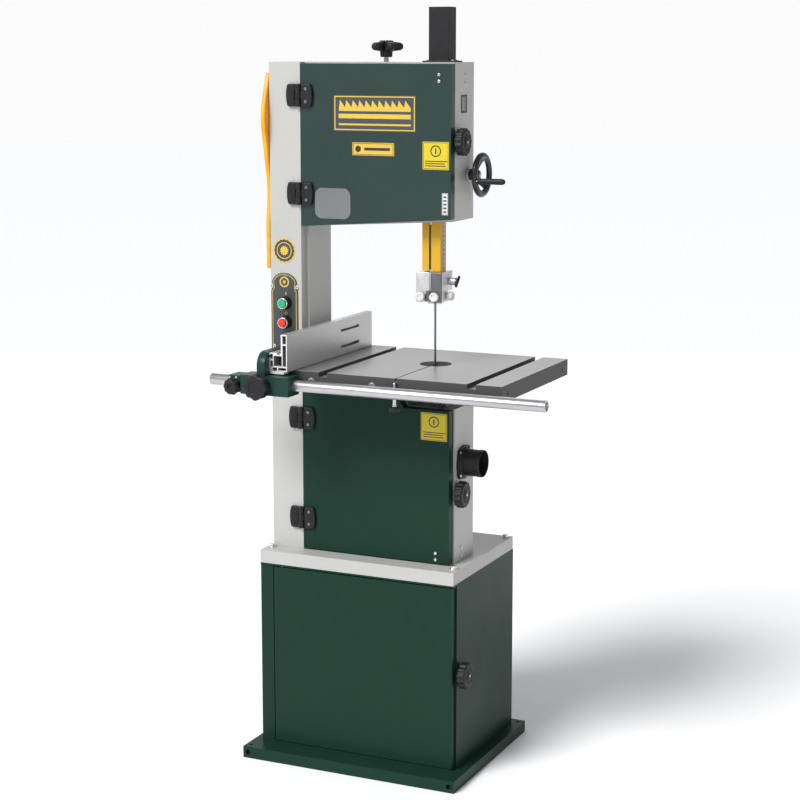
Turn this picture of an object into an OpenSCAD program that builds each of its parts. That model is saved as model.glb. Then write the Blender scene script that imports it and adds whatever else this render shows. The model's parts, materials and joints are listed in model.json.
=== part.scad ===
// Floor-standing band saw on a steel cabinet.
// Origin: centre of the plinth on the floor. +X right, +Y back, +Z up. Millimetres.

/* [Base] */
// Width of the plinth
plinth_w = 530; // [520:5:560]
// Depth of the plinth
plinth_d = 432; // [432:2:460]
// Height of the plinth
plinth_h = 27; // [24:1:30]
// Distance between the floor bolts across the width
floor_bolt_dx = 504; // [490:1:504]
// Distance between the floor bolts across the depth
floor_bolt_dy = 400; // [390:1:400]
// Radius of the floor-bolt holes
floor_bolt_r = 4.5; // [4:0.5:6]
// Left face of the cabinet
cab_x0 = -246; // [-248:1:-244]
// Right face of the cabinet
cab_x1 = 238; // [236:1:240]
// Back face of the cabinet
cab_y1 = 196; // [190:1:200]
// Front face of the cabinet door and lid
cab_y0 = -158; // [-160:1:-156]
// Top of the cabinet, where the lid sits
cab_z1 = 453; // [445:1:460]
// Height of the lid
lid_h = 30; // [26:1:34]

/* [Frame] */
// Left face of the column
col_x0 = -236; // [-238:1:-234]
// Step between the column front and the doors
col_xs = -158; // [-158:1:-157]
// Right inner face of the column, at the throat
col_x1 = -150; // [-151:1:-149]
// Front face of the column and the doors
front_y = -111; // [-112:1:-110]
// Front plane of the wheel housings
house_y = -88; // [-89:1:-87]
// Back plane of the frame
back_y = 20; // [18:1:22]
// Top of the frame
top_z = 1590; // [1588:1:1594]
// Right face of the upper wheel housing
upper_x1 = 204; // [203:1:205]
// Right face of the lower wheel housing
lower_x1 = 208; // [207:1:209]
// Underside of the upper housing at the column
upper_z_left = 1226; // [1222:1:1228]
// Underside of the upper housing at its right end
upper_z_right = 1248; // [1244:1:1250]
// Top of the lower housing beside the column
lower_z_high = 868; // [866:1:869]
// Top of the lower housing under the table's tilt axis
lower_z_low = 834; // [833:1:835]
// Plate thickness of the frame
plate = 3; // [2.5:0.5:3]

/* [Wheels and blade] */
// Outer radius of the tyre on each wheel
wheel_r = 151.6; // [151:0.1:151.6]
// Centre of both wheels across the width
wheel_x = -12; // [-13:1:-11]
// Height of the upper wheel's axle
upper_wheel_z = 1408; // [1406:1:1409]
// Height of the lower wheel's axle
lower_wheel_z = 657; // [656:1:658]
// Width of the blade band
blade_w = 12; // [10:1:13]
// Thickness of the blade band
blade_t = 0.6; // [0.5:0.1:0.6]
// Depth position of the blade's middle
blade_y = -42; // [-42.5:0.5:-41.5]

/* [Table] */
// Left edge of the table
table_x0 = -146; // [-147:1:-144]
// Right edge of the table
table_x1 = 384; // [380:1:390]
// Front edge of the table
table_y0 = -250; // [-252:1:-250]
// Back edge of the table
table_y1 = 150; // [145:1:155]
// Working surface of the table
table_z = 924; // [923:1:925]
// Height of the table's rim
rim_h = 36; // [34:1:36]
// Thickness of the table's plate
web_t = 10; // [8:1:10]
// Width of each mitre slot
slot_w = 20; // [19:1:21]

/* [Fence] */
// Radius of the fence rail
rail_r = 12.5; // [12:0.5:12.5]
// Left end of the fence rail
rail_x0 = -293; // [-300:1:-285]
// Right end of the fence rail
rail_x1 = 496; // [490:1:500]
// Depth position of the rail's axis
rail_y = -282; // [-283:1:-281]
// Height of the rail's axis
rail_z = 897; // [896:1:898]
// Working face of the fence
fence_x1 = -104; // [-105:1:-103]
// Height of the fence above the table
fence_h = 82; // [76:1:86]
// Front end of the fence
fence_y0 = -284; // [-285:1:-283]
// Back end of the fence
fence_y1 = 140; // [130:1:145]

/* [Guide post] */
// Left face of the guide post
post_x0 = 142; // [142:0.5:142.5]
// Width of the guide post
post_w = 20; // [18:1:20]
// Front face of the guide post
post_y0 = -62; // [-62:0.5:-61.5]
// Depth of the guide post
post_d = 30; // [28:1:30]
// Underside of the guide post
post_z0 = 1133; // [1130:1:1135]
// Top of the guide post
post_z1 = 1612; // [1605:1:1615]
// Module of the rack and pinion
gear_m = 1.5; // [1.5:0.5:1.5]
// Teeth on the pinion
pinion_n = 16; // [16:1:16]

/* [Hidden] */

$fn = 64;
eps = 1;                 // overshoot of a cutting shape
gap = 0.5;               // plain gap between parts that move past each other
run = 0.05;              // radial running clearance of a shaft in its bore
sheet = 2;               // sheet thickness of the cabinet and doors
bore = 10;               // length of a cutter that goes through a wall
bolt_r = 4;              // radius of the frame's bolts

white = [0.87, 0.87, 0.84];
green = [0.07, 0.23, 0.19];
black = [0.09, 0.09, 0.10];
steel = [0.72, 0.73, 0.74];
iron = [0.42, 0.42, 0.42];
yellow = [0.93, 0.70, 0.10];

// ---- shapes placed by their own corners or axes ----
module box(lo, hi) translate(lo) cube(hi - lo);
module rod_x(p, len, r) translate(p) rotate([0, 90, 0]) cylinder(h = len, r = r);
module rod_y(p, len, r) translate(p) rotate([-90, 0, 0]) cylinder(h = len, r = r);
module rod_z(p, len, r) translate(p) cylinder(h = len, r = r);
module hex_z(p, len, r) translate(p) cylinder(h = len, r = r, $fn = 6);
module hex_y(p, len, r) translate(p) rotate([-90, 0, 0]) cylinder(h = len, r = r, $fn = 6);
// flat outline in X and Z, as thick as from y0 to y1
module slab_y(y0, y1) translate([0, y1, 0]) rotate([90, 0, 0]) linear_extrude(y1 - y0) children();
// flat outline in Y and Z, as thick as from x0 to x1
module slab_x(x0, x1) translate([x0, 0, 0]) rotate([90, 0, 90]) linear_extrude(x1 - x0) children();
// rectangle with round corners, between two corners
module round_rect(lo, hi, r) {
  translate([lo[0] + r, lo[1]]) square([hi[0] - lo[0] - 2 * r, hi[1] - lo[1]]);
  translate([lo[0], lo[1] + r]) square([hi[0] - lo[0], hi[1] - lo[1] - 2 * r]);
  for (x = [lo[0] + r, hi[0] - r], y = [lo[1] + r, hi[1] - r]) translate([x, y]) circle(r);
}
// ring around the Y axis
module ring_y(p, y0, y1, r_in, r_out) translate([p[0], 0, p[1]]) slab_y(y0, y1)
  difference() { circle(r_out); circle(r_in); }
// knob with round flutes around its rim, along +Z
module fluted(r, h, n, flute_r) difference() {
  cylinder(h = h, r = r);
  for (i = [0 : n - 1]) rotate(360 / n * i) translate([r + flute_r * 0.55, 0, -eps])
    cylinder(h = h + 2 * eps, r = flute_r, $fn = 24);
}

// ---- base ----
pin_x = -193;            // cabinet door's pivot pins
pin_y = -149;
pin_r = 4;
door_t = 18;             // thickness of the cabinet door
door_back_y = cab_y0 + door_t;
lid_top = cab_z1 + lid_h;
strip_x1 = -214;         // right edge of the strip beside the cabinet door
lid_bolts = [for (x = [cab_x0 + 14, cab_x1 - 15], y = [-125, cab_y1 - 12]) [x, y]];
floor_bolts = [for (x = [-1, 1], y = [-1, 1]) [x * floor_bolt_dx / 2, y * floor_bolt_dy / 2]];

module base_plinth() color(green) {
  wall = 2.5;
  tube_r = 10;
  hole_z = 14;           // holes in the front wall for a fork's pins
  hole_r = 6;
  difference() {
    union() {
      difference() {
        box([-plinth_w / 2, -plinth_d / 2, 0], [plinth_w / 2, plinth_d / 2, plinth_h]);
        box([-plinth_w / 2 + wall, -plinth_d / 2 + wall, -eps],
            [plinth_w / 2 - wall, plinth_d / 2 - wall, plinth_h - wall]);
      }
      for (p = floor_bolts) rod_z([p[0], p[1], 0], plinth_h, tube_r);
    }
    for (p = floor_bolts) rod_z([p[0], p[1], -eps], plinth_h + 2 * eps, floor_bolt_r);
    for (x = [-1, 1]) rod_y([x * floor_bolt_dx / 2, -plinth_d / 2 - eps, hole_z], wall + 2 * eps, hole_r);
  }
}

latch_z = [1420, 642, 243];      // heights of the three latch knobs
latch_y = [-75, -78, -127];
latch_wall = [upper_x1, lower_x1, cab_x1];
spindle_r = 6;

module cabinet_body() color(green) {
  flange = 30;           // rim that the lid rests on
  lip = 16;              // inward lip of the right wall
  rail = 4;              // rail above the door
  difference() {
    union() {
      difference() {
        box([cab_x0, door_back_y, plinth_h], [cab_x1, cab_y1, cab_z1]);
        box([cab_x0 + sheet, door_back_y - eps, plinth_h + sheet],
            [cab_x1 - sheet, cab_y1 - sheet, cab_z1 + eps]);
      }
      // strip left of the door
      difference() {
        box([cab_x0, cab_y0 + sheet, plinth_h], [strip_x1, door_back_y + eps, cab_z1]);
        box([cab_x0 + sheet, cab_y0 + 2 * sheet, plinth_h + sheet],
            [strip_x1 - sheet, door_back_y + 2 * eps, cab_z1 - sheet]);
      }
      // rails above and below the door
      box([cab_x0, cab_y0, cab_z1 - rail], [cab_x1, door_back_y + sheet, cab_z1]);
      box([cab_x0, cab_y0, plinth_h], [cab_x1, door_back_y + sheet, plinth_h + sheet]);
      // flange that the lid rests on
      difference() {
        box([cab_x0, door_back_y, cab_z1 - sheet], [cab_x1, cab_y1, cab_z1]);
        box([cab_x0 + flange, door_back_y + flange, cab_z1 - rail],
            [cab_x1 - flange, cab_y1 - flange, cab_z1 + eps]);
      }
      box([cab_x1 - lip, door_back_y, plinth_h], [cab_x1, door_back_y + sheet, cab_z1]);
    }
    rod_z([pin_x, pin_y, plinth_h - eps], cab_z1, pin_r);
    for (p = lid_bolts) rod_z([p[0], p[1], cab_z1 - bore / 2], bore, bolt_r);
    rod_x([cab_x1 - bore / 2, latch_y[2], latch_z[2]], bore, spindle_r + run);
  }
}

module cabinet_lid() color(white) {
  lo = [cab_x0, cab_y0, cab_z1];
  hi = [cab_x1 - 1, cab_y1, lid_top];
  wall = 2.5;
  difference() {
    box(lo, hi);
    box(lo + [wall, wall, -eps], hi - [wall, wall, plate]);
    for (p = lid_bolts) rod_z([p[0], p[1], cab_z1], lid_h + eps, bolt_r);
  }
}

module cabinet_door() color(green) {
  lo = [strip_x1 + 3, cab_y0, plinth_h + 4];
  hi = [cab_x1 - 4, door_back_y - gap, cab_z1 - 6.5];
  lip = 12;              // rim left around the opening in the back
  difference() {
    box(lo, hi);
    box(lo + [sheet, sheet, sheet], hi - [sheet, sheet, sheet]);
    box([lo[0] + lip, hi[1] - bore / 2, lo[2] + lip], [hi[0] - lip, hi[1] + eps, hi[2] - lip]);
    rod_z([pin_x, pin_y, lo[2] - eps], hi[2], pin_r + run);
  }
}

stop_p = [40, -34];      // stop bolt under the table
module frame_fasteners() color(steel) {
  nut_r = 7.5;
  nut_h = 6.5;
  head_h = 5.4;
  washer_r = 9;
  washer_t = 1.6;
  tail = 10;             // length of a lid bolt below the lid
  stop_nut_h = 6;
  stop_r = 5;
  for (p = lid_bolts) translate(p) {
    rod_z([0, 0, cab_z1 - tail], lid_h + tail, bolt_r);
    difference() {
      hex_z([0, 0, cab_z1 - sheet - nut_h], nut_h, nut_r);
      rod_z([0, 0, cab_z1 - tail], tail, bolt_r);
    }
    rod_z([0, 0, lid_top], washer_t, washer_r);
    hex_z([0, 0, lid_top + washer_t], head_h, nut_r);
  }
  // bolt that the level table rests on
  translate(stop_p) {
    hex_z([0, 0, lower_z_high], stop_nut_h, 9);
    rod_z([0, 0, lower_z_high + stop_nut_h], web_z - lower_z_high - stop_nut_h - 0.3, stop_r);
  }
  // pins of the four hinges and of the cabinet door
  for (z = hinge_z) rod_z([hinge_x, hinge_y, z - hinge_h / 2], hinge_h, hinge_pin_r);
  rod_z([pin_x, pin_y, plinth_h], 14, pin_r);
  rod_z([pin_x, pin_y, cab_z1 - 16], 16, pin_r);
}

// ---- frame ----
button_x = -197;
button_z = [1052, 1008];
button_bore_r = 9;
gland_x = -193;
gland_z = 560;
module column_outline(t) polygon([[col_x0 + t, front_y + t], [col_xs - t, front_y + t],
  [col_xs - t, house_y + t], [col_x1 - t, house_y + t], [col_x1 - t, back_y - t], [col_x0 + t, back_y - t]]);

module column() color(white) difference() {
  translate([0, 0, lid_top]) linear_extrude(top_z - lid_top) column_outline(0);
  translate([0, 0, lid_top + plate]) linear_extrude(top_z - lid_top - 2 * plate) column_outline(plate);
  box([col_x1 - 2 * plate, house_y + plate, lid_top + plate],
      [col_x1 + eps, back_y - plate, lower_z_high - plate]);
  box([col_x1 - 2 * plate, house_y + plate, upper_z_left + plate],
      [col_x1 + eps, back_y - plate, top_z - plate]);
  for (z = button_z) rod_y([button_x, front_y - eps, z], plate + 2 * eps, button_bore_r);
}

module upper_outline(t) polygon([[col_x1 - (t > 0 ? eps : 0), upper_z_left + t],
  [upper_x1 - t, upper_z_right + t], [upper_x1 - t, top_z - t], [col_x1 - (t > 0 ? eps : 0), top_z - t]]);
notch_x = [68, 95];      // slope in the lower housing's top, beside the table's trunnions
module lower_outline(t, s) polygon([[col_x1 - s, lid_top + t], [lower_x1 - t, lid_top + t],
  [lower_x1 - t, lower_z_low - t], [notch_x[1] - t / 2, lower_z_low - t],
  [notch_x[0] - t / 2, lower_z_high - t], [col_x1 - s, lower_z_high - t]]);

tension_x = 0;
tension_y = 2;
tension_r = 6;
hand_y = -10;
hand_z = 1346;
shaft_r = 6;
carriage_x = [-50, 30];
rail_gap = 0.4;
bracket_z = [1258, 1500];
cover_lo = [134, -68];
cover_hi = [182, -28];
flange = 14;             // rim around the front of a wheel housing

module upper_wheel_housing() color(white) {
  rail_w = 8;
  rail_z = [1330, 1500];
  bracket_h = 18;
  post_y1 = post_y0 + post_d;
  window_y = [-48, -24];
  window_z = [1484, 1518];
  difference() {
    union() {
      difference() {
        slab_y(house_y, back_y) upper_outline(0);
        slab_y(house_y - eps, back_y - plate) upper_outline(plate);
      }
      slab_y(house_y, house_y + plate) difference() { upper_outline(0); upper_outline(flange); }
      // rails that guide the wheel carriage
      for (x = [carriage_x[0] - rail_gap - rail_w, carriage_x[1] + rail_gap])
        box([x, -14, rail_z[0]], [x + rail_w, back_y - plate, rail_z[1]]);
      // brackets that guide the post
      for (z = bracket_z) difference() {
        box([150, post_y0 - 7, z], [upper_x1 - plate, post_y1 + 6, z + bracket_h]);
        box([140, post_y0 - 0.3 - (z == bracket_z[0] ? 2 : 0), z - eps],
            [post_x0 + post_w + 0.9, post_y1 + 0.1, z + bracket_h + 2 * eps]);
        box([140, post_y1 - eps, z - eps], [157, post_y1 + bore, z + bracket_h + 2 * eps]);
      }
      // plate that carries the handwheel's shaft
      box([170, -24, hand_z - 16], [176, back_y - plate, hand_z + 16]);
    }
    // way for the blade, the guard and the post
    box([112, -72, upper_z_left], [176, -18, upper_z_right + 8]);
    box([137, -66, top_z - bore / 2], [166, -18, top_z + eps]);
    rod_z([tension_x, tension_y, top_z - bore / 2], bore, tension_r + run);
    rod_x([160, hand_y, hand_z], 50, shaft_r + run);
    rod_x([upper_x1 - bore / 2, latch_y[0], latch_z[0]], bore, spindle_r + run);
    // window of the tension scale
    box([upper_x1 - bore / 2, window_y[0], window_z[0]], [upper_x1 + eps, window_y[1], window_z[1]]);
    // slot for the tracking screw
    box([wheel_x - 8, back_y - bore / 2, track_z - 20], [wheel_x + 8, back_y + eps, track_z + 20]);
  }
}

axle_r = 8.5;
track_z = 1444;          // height of the tracking screw
motor_x = -110;
motor_z = 560;
dust_y = -39;
dust_z = 707;
dust_r = 31;
dust_bore_r = 28.5;
module lower_wheel_housing() color(white) {
  difference() {
    union() {
      difference() {
        slab_y(house_y, back_y) lower_outline(0, 0);
        slab_y(house_y - eps, back_y - plate) lower_outline(plate, eps);
      }
      slab_y(house_y, house_y + plate) difference() { lower_outline(0, 0); lower_outline(flange, eps); }
    }
    box([126, -62, lower_z_low - bore / 2], [154, -10, lower_z_low + eps]);
    rod_x([lower_x1 - bore / 2, latch_y[1], latch_z[1]], bore, spindle_r + run);
    rod_x([lower_x1 - bore / 2, dust_y, dust_z], bore, dust_bore_r);
    rod_y([wheel_x, back_y - bore / 2, lower_wheel_z], bore, axle_r);
    rod_y([motor_x, back_y - bore / 2, motor_z], bore, 16);
  }
}

// ---- doors ----
door_x0 = col_xs + 1;
upper_door_x1 = 206;
lower_door_x1 = 205;
window_lo = [-119, 1249];
window_hi = [-37, 1311];
window_r = 14;
module upper_door_outline(t) polygon([[door_x0 + t, upper_z_left + 1 + t],
  [upper_door_x1 - t, upper_z_left + 28 + t], [upper_door_x1 - t, top_z - 3 - t],
  [door_x0 + t, top_z - 3 - t]]);
module lower_door_outline(t) polygon([[door_x0 + t, lid_top + 3 + t], [lower_door_x1 - t, lid_top + 3 + t],
  [lower_door_x1 - t, lower_z_low - 1 - t], [notch_x[1] + 1 - t / 2, lower_z_low - 1 - t],
  [notch_x[0] + 3 - t / 2, lower_z_high - 2 - t], [door_x0 + t, lower_z_high - 2 - t]]);
module upper_door() color(green) difference() {
  slab_y(front_y, house_y - 0.3) upper_door_outline(0);
  slab_y(front_y + sheet, house_y) upper_door_outline(sheet);
  slab_y(front_y - eps, front_y + bore / 2) round_rect(window_lo, window_hi, window_r);
}
module door_window() color([0.62, 0.64, 0.65]) {
  rim = 3;
  slab_y(front_y, front_y + sheet) round_rect(window_lo, window_hi, window_r);
  slab_y(front_y - 1.4, front_y) round_rect(window_lo - [rim, rim], window_hi + [rim, rim], window_r + rim);
}
module lower_door() color(green) difference() {
  slab_y(front_y, house_y - 0.3) lower_door_outline(0);
  slab_y(front_y + sheet, house_y) lower_door_outline(sheet);
}

// ---- hinges of the two doors ----
hinge_x = -160;
hinge_y = front_y - 6.5;
hinge_z = [1517, 1300, 791, 559];
hinge_h = 50;
knuckle_r = 6.5;
knuckle_h = 17;          // middle knuckle, on the door
hinge_pin_r = 2.5;
leaf_t = 8;
leaf_x = [-190, -168, -152.5, -125];     // ends of the frame's leaf, then of the door's
web_y = front_y - 3;     // back of the web between a knuckle and its leaf
module knuckle(z, h, bore) difference() {
  rod_z([hinge_x, hinge_y, z], h, knuckle_r);
  rod_z([hinge_x, hinge_y, z - eps], h + 2 * eps, bore);
}
module frame_hinge_leaves() color(black) for (z = hinge_z) for (s = [-1, 1]) {
  end = s > 0 ? z + knuckle_h / 2 + gap : z - hinge_h / 2;
  h = (hinge_h - knuckle_h) / 2 - gap;
  knuckle(end, h, hinge_pin_r);
  box([leaf_x[0], front_y - leaf_t, min(z, z + s * hinge_h / 2)],
      [leaf_x[1], front_y, max(z, z + s * hinge_h / 2)]);
  difference() {
    box([leaf_x[1], front_y - leaf_t, end], [hinge_x, web_y, end + h]);
    rod_z([hinge_x, hinge_y, end - eps], h + 2 * eps, knuckle_r - 1);
  }
}
module door_leaves(heights) color(black) for (z = heights) {
  knuckle(z - knuckle_h / 2, knuckle_h, hinge_pin_r + run);
  box([leaf_x[2], front_y - leaf_t, z - hinge_h / 2], [leaf_x[3], front_y, z + hinge_h / 2]);
  difference() {
    box([hinge_x, front_y - leaf_t, z - knuckle_h / 2], [leaf_x[2], web_y, z + knuckle_h / 2]);
    rod_z([hinge_x, hinge_y, z - hinge_h / 2], hinge_h, knuckle_r - 1);
  }
}
module upper_door_leaves() door_leaves([hinge_z[0], hinge_z[1]]);
module lower_door_leaves() door_leaves([hinge_z[2], hinge_z[3]]);

// ---- latches: knob, spindle and the cam inside ----
module latch(i) color(black) {
  x = latch_wall[i];
  y = latch_y[i];
  z = latch_z[i];
  knob_r = 30;
  knob_h = 20;
  cam = [6, 12, 30];     // thickness, width and reach
  translate([x + 5, y, z]) rotate([0, 90, 0]) fluted(knob_r, knob_h, 10, 5);
  rod_x([x + 0.2, y, z], 6, 11);
  rod_x([x - 22, y, z], 24, spindle_r);
  box([x - 20, y - cam[1] / 2, z], [x - 20 + cam[0], y + cam[1] / 2, z + cam[2]]);
}
module upper_latch() latch(0);
module lower_latch() latch(1);
module cabinet_latch() latch(2);

// ---- wheels ----
wheel_w = 22;
wheel_y0 = blade_y - wheel_w / 2;
wheel_y1 = blade_y + wheel_w / 2;
tyre_t = 3.3;
hub_r = 27;
bearing_r = 20;
bearing_w = 12;
pulley_y = [-30, -13];
wheel_pulley_r = 60;
motor_pulley_r = 25;
upper_hub_y1 = -29;

module wheel(z, hub_y1) {
  spokes = 6;
  spoke = [5, 8];        // half of its depth and of its width
  rim_r = wheel_r - tyre_t;
  rim_t = 9;
  ring_y([wheel_x, z], wheel_y0, wheel_y1, rim_r - rim_t, rim_r);
  ring_y([wheel_x, z], wheel_y0 - 2, hub_y1, bearing_r, hub_r);
  for (i = [0 : spokes - 1]) translate([wheel_x, blade_y, z]) rotate([0, 360 / spokes * i, 0])
    box([hub_r - eps, -spoke[0], -spoke[1]], [rim_r - rim_t + eps, spoke[0], spoke[1]]);
}
module tyre(z) ring_y([wheel_x, z], wheel_y0, wheel_y1, wheel_r - tyre_t, wheel_r);
module wheel_bearings(z, back) for (y = [wheel_y0 - 1, back])
  ring_y([wheel_x, z], y, y + bearing_w, axle_r + run, bearing_r);

module upper_wheel() color(iron) wheel(upper_wheel_z, upper_hub_y1);
module upper_tyre() color(black) tyre(upper_wheel_z);
module upper_bearings() color(steel) wheel_bearings(upper_wheel_z, upper_hub_y1 - bearing_w);
module lower_tyre() color(black) tyre(lower_wheel_z);
module lower_bearings() color(steel) wheel_bearings(lower_wheel_z, pulley_y[1] - bearing_w);
module lower_wheel() color(iron) {
  pitch = 3.4;
  groove = [1.4, 1.6];   // width and depth
  p = [wheel_x, lower_wheel_z];
  y0 = pulley_y[0];
  n = floor((pulley_y[1] - y0) / pitch) - 1;
  wheel(lower_wheel_z, pulley_y[1]);
  difference() {
    ring_y(p, y0, pulley_y[1], hub_r - eps, wheel_pulley_r);
    ring_y(p, y0 + 4, pulley_y[1] + eps, hub_r, wheel_pulley_r - 8);
    for (i = [0 : n - 1]) ring_y(p, y0 + 2 + i * pitch, y0 + 2 + i * pitch + groove[0],
      wheel_pulley_r - groove[1], wheel_pulley_r + eps);
  }
}

// axle of the upper wheel on its tilting block, which pivots in the carriage
tilt_y = -6;
pivot_r = 5;
block_lo = [-30, -18, 1386];
block_hi = [6, 0, 1452];
axle_end = 6;            // length of an axle in front of its wheel
clip = [3.5, 12];        // thickness and radius of the ring that holds a wheel
module upper_axle() color(steel) {
  rod_y([wheel_x, wheel_y0 - axle_end, upper_wheel_z], block_lo[1] - wheel_y0 + axle_end + eps, axle_r);
  rod_y([wheel_x, wheel_y0 - axle_end + 1, upper_wheel_z], clip[0], clip[1]);
  box(block_lo, block_hi);
  rod_x([carriage_x[0] + 8, tilt_y, upper_wheel_z], carriage_x[1] - carriage_x[0] - 16, pivot_r);
}
carriage_z = [1372, 1470];
module carriage() color(iron) difference() {
  box([carriage_x[0], -20, carriage_z[0]], [carriage_x[1], 14, carriage_z[1]]);
  // room for the tilting block
  box([block_lo[0] - 3, -20 - eps, block_lo[2] - 6], [block_hi[0] + 3, 4, block_hi[2] + 6]);
  rod_x([carriage_x[0] + 6, tilt_y, upper_wheel_z], carriage_x[1] - carriage_x[0] - 12, pivot_r + run);
  // bores for the tracking screw and the tension screw
  rod_y([wheel_x, 0, track_z], 20, bolt_r + run);
  rod_z([tension_x, tension_y, carriage_z[1] - 6], bore, tension_r + run);
}
module tension_spring() color(steel) {
  wire_r = 1.5;
  spring_r = 11;
  turns = 8;
  pitch = 4;
  for (i = [0 : turns - 1]) translate([tension_x, tension_y, carriage_z[1] + wire_r + i * pitch])
    rotate_extrude($fn = 32) translate([spring_r, 0]) circle(wire_r, $fn = 8);
}
star_z = 1612;
module tension_screw() translate([tension_x, tension_y, star_z]) {
  arms = 5;
  arm = [28, 8, 10];     // reach, half width and the radius of its end
  lobe_z = [2, 22];
  stem = 12;             // length of the hub below the lobes
  length = star_z - carriage_z[1] + 4;
  color(steel) rod_z([0, 0, -length], length, tension_r);
  color(black) {
    for (i = [0 : arms - 1]) rotate(360 / arms * i) {
      rod_z([arm[0], 0, lobe_z[0]], lobe_z[1] - lobe_z[0], arm[2]);
      box([0, -arm[1], lobe_z[0]], [arm[0], arm[1], lobe_z[1]]);
    }
    rod_z([0, 0, -stem], stem + 25, 14);
  }
}
module tracking_knob() color(black) {
  start = block_hi[1] + 1.3;
  rod_y([wheel_x, start, track_z], 42, bolt_r);
  translate([wheel_x, 42, track_z]) rotate([-90, 0, 0]) fluted(20, 20, 8, 4);
}

module lower_axle() color(steel) {
  rod_y([wheel_x, wheel_y0 - axle_end, lower_wheel_z], back_y - wheel_y0 + axle_end + 10, axle_r);
  rod_y([wheel_x, wheel_y0 - axle_end + 1, lower_wheel_z], clip[0], clip[1]);
  ring_y([wheel_x, lower_wheel_z], 8, back_y - plate, axle_r, 34);
  translate([wheel_x, back_y, lower_wheel_z]) rotate([-90, 0, 0]) difference() {
    cylinder(h = 9, r = 15, $fn = 6);
    translate([0, 0, -eps]) cylinder(h = 11, r = axle_r);
  }
}

// ---- motor and drive ----
motor_r = 58;
motor_shaft_r = 9.5;
module motor() color(black) translate([motor_x, back_y, motor_z]) difference() {
  foot = [60, 7, 55];    // half width, thickness and half height of the flange on the frame
  fins = 24;
  fin_t = 2.4;
  union() {
    rod_y([0, 6, 0], 26, motor_r - 4);
    rod_y([0, 30, 0], 110, motor_r - 3);
    rod_y([0, 138, 0], 28, motor_r);
    for (i = [0 : fins - 1]) rotate([0, 360 / fins * i, 0])
      box([motor_r - 5, 34, -fin_t / 2], [motor_r, 134, fin_t / 2]);
    box([-foot[0], 0, -foot[2]], foot);
    // terminal box
    box([-36, 40, motor_r - 8], [36, 110, motor_r + 34]);
  }
  rod_y([0, -eps, 0], 60, motor_shaft_r + 1.5);
}
module motor_pulley() color(steel) {
  shaft_len = 88;
  rod_y([motor_x, pulley_y[0], motor_z], shaft_len, motor_shaft_r);
  ring_y([motor_x, motor_z], pulley_y[0], pulley_y[1], motor_shaft_r - eps, motor_pulley_r);
}
// arc of points around p
function arc(p, r, start, sweep, n) =
  [for (k = [0 : n]) let (a = start + sweep * k / n) p + r * [cos(a), sin(a)]];
// line around both pulleys, d outside them
function belt_line(d) = let (
    motor_p = [motor_x, motor_z],
    v = [wheel_x, lower_wheel_z] - motor_p,
    dir = atan2(v[1], v[0]),
    spread = 90 + asin((wheel_pulley_r - motor_pulley_r) / norm(v)))
  concat(arc(motor_p, motor_pulley_r + d, dir + spread, 360 - 2 * spread, 32),
    arc(motor_p + v, wheel_pulley_r + d, dir - spread, 2 * spread, 64));
module drive_belt() color(black) {
  belt_t = 4;
  lift = 0.3;            // gap between the belt and its pulleys
  side = 1.5;
  slab_y(pulley_y[0] + side, pulley_y[1] - side)
    difference() { polygon(belt_line(lift + belt_t)); polygon(belt_line(lift)); }
}

// ---- blade ----
blade_x = wheel_x + wheel_r + 0.4;       // inner face of the cutting run
blade_top_z = upper_wheel_z + 1.2;
// half a turn of the blade around a wheel
module blade_turn(z, start) translate([wheel_x, blade_y + blade_w / 2, z]) rotate([90, 0, 0]) rotate(start)
  rotate_extrude(angle = 180, $fn = 128) translate([blade_x - wheel_x, 0]) square([blade_t, blade_w]);
module blade() color(steel) {
  y0 = blade_y - blade_w / 2;
  y1 = blade_y + blade_w / 2;
  blade_turn(blade_top_z, 0);
  blade_turn(lower_wheel_z, 180);
  for (x = [blade_x, 2 * wheel_x - blade_x - blade_t])
    box([x, y0, lower_wheel_z], [x + blade_t, y1, blade_top_z]);
}

// ---- guide post, rack and pinion ----
pitch_r = gear_m * pinion_n / 2;
rack_y = hand_y - pitch_r;               // pitch line of the rack
rack_z = [1250, 1484];
rack_x = [144, 154];
tooth_pitch = PI * gear_m;
backlash = 0.35;
pressure = 20;           // pressure angle of the teeth
addendum = gear_m * 0.9;
dedendum = gear_m * 1.25;
module rack_outline() {
  n = floor((rack_z[1] - hand_z) / tooth_pitch);
  m = floor((hand_z - rack_z[0]) / tooth_pitch);
  half = tooth_pitch / 4 - backlash / 2;
  slope = tan(pressure);
  y0 = post_y0 + post_d;
  translate([y0, rack_z[0]]) square([rack_y - dedendum - y0, rack_z[1] - rack_z[0]]);
  for (i = [-m : n - 1]) translate([rack_y, hand_z + (i + 0.5) * tooth_pitch])
    polygon([[-dedendum, -half - dedendum * slope], [addendum, -half + addendum * slope],
             [addendum, half - addendum * slope], [-dedendum, half + dedendum * slope]]);
}
function involute(base, r) = let (a = sqrt(pow(r / base, 2) - 1)) a * 180 / PI - atan(a);
module pinion_outline() {
  base = pitch_r * cos(pressure);
  outer = pitch_r + addendum;
  root = pitch_r - dedendum;
  half = 90 / pinion_n - backlash / 2 / pitch_r * 180 / PI;
  steps = 4;
  radii = concat([root * 0.98], [for (k = [0 : steps]) base + (outer - base) * k / steps]);
  // angle of a tooth's flank at radius r; below the base circle it runs straight to the centre
  function flank(r) = half + involute(base, pitch_r) - involute(base, max(r, base));
  circle(root);
  for (i = [0 : pinion_n - 1]) rotate(180 + 360 / pinion_n * i) polygon(concat(
    [for (r = radii) r * [cos(flank(r)), sin(flank(r))]],
    [for (k = [steps + 1 : -1 : 0]) radii[k] * [cos(flank(radii[k])), -sin(flank(radii[k]))]]));
}
module guide_post() color(yellow)
  box([post_x0, post_y0, post_z0], [post_x0 + post_w, post_y0 + post_d, post_z1]);
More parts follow.
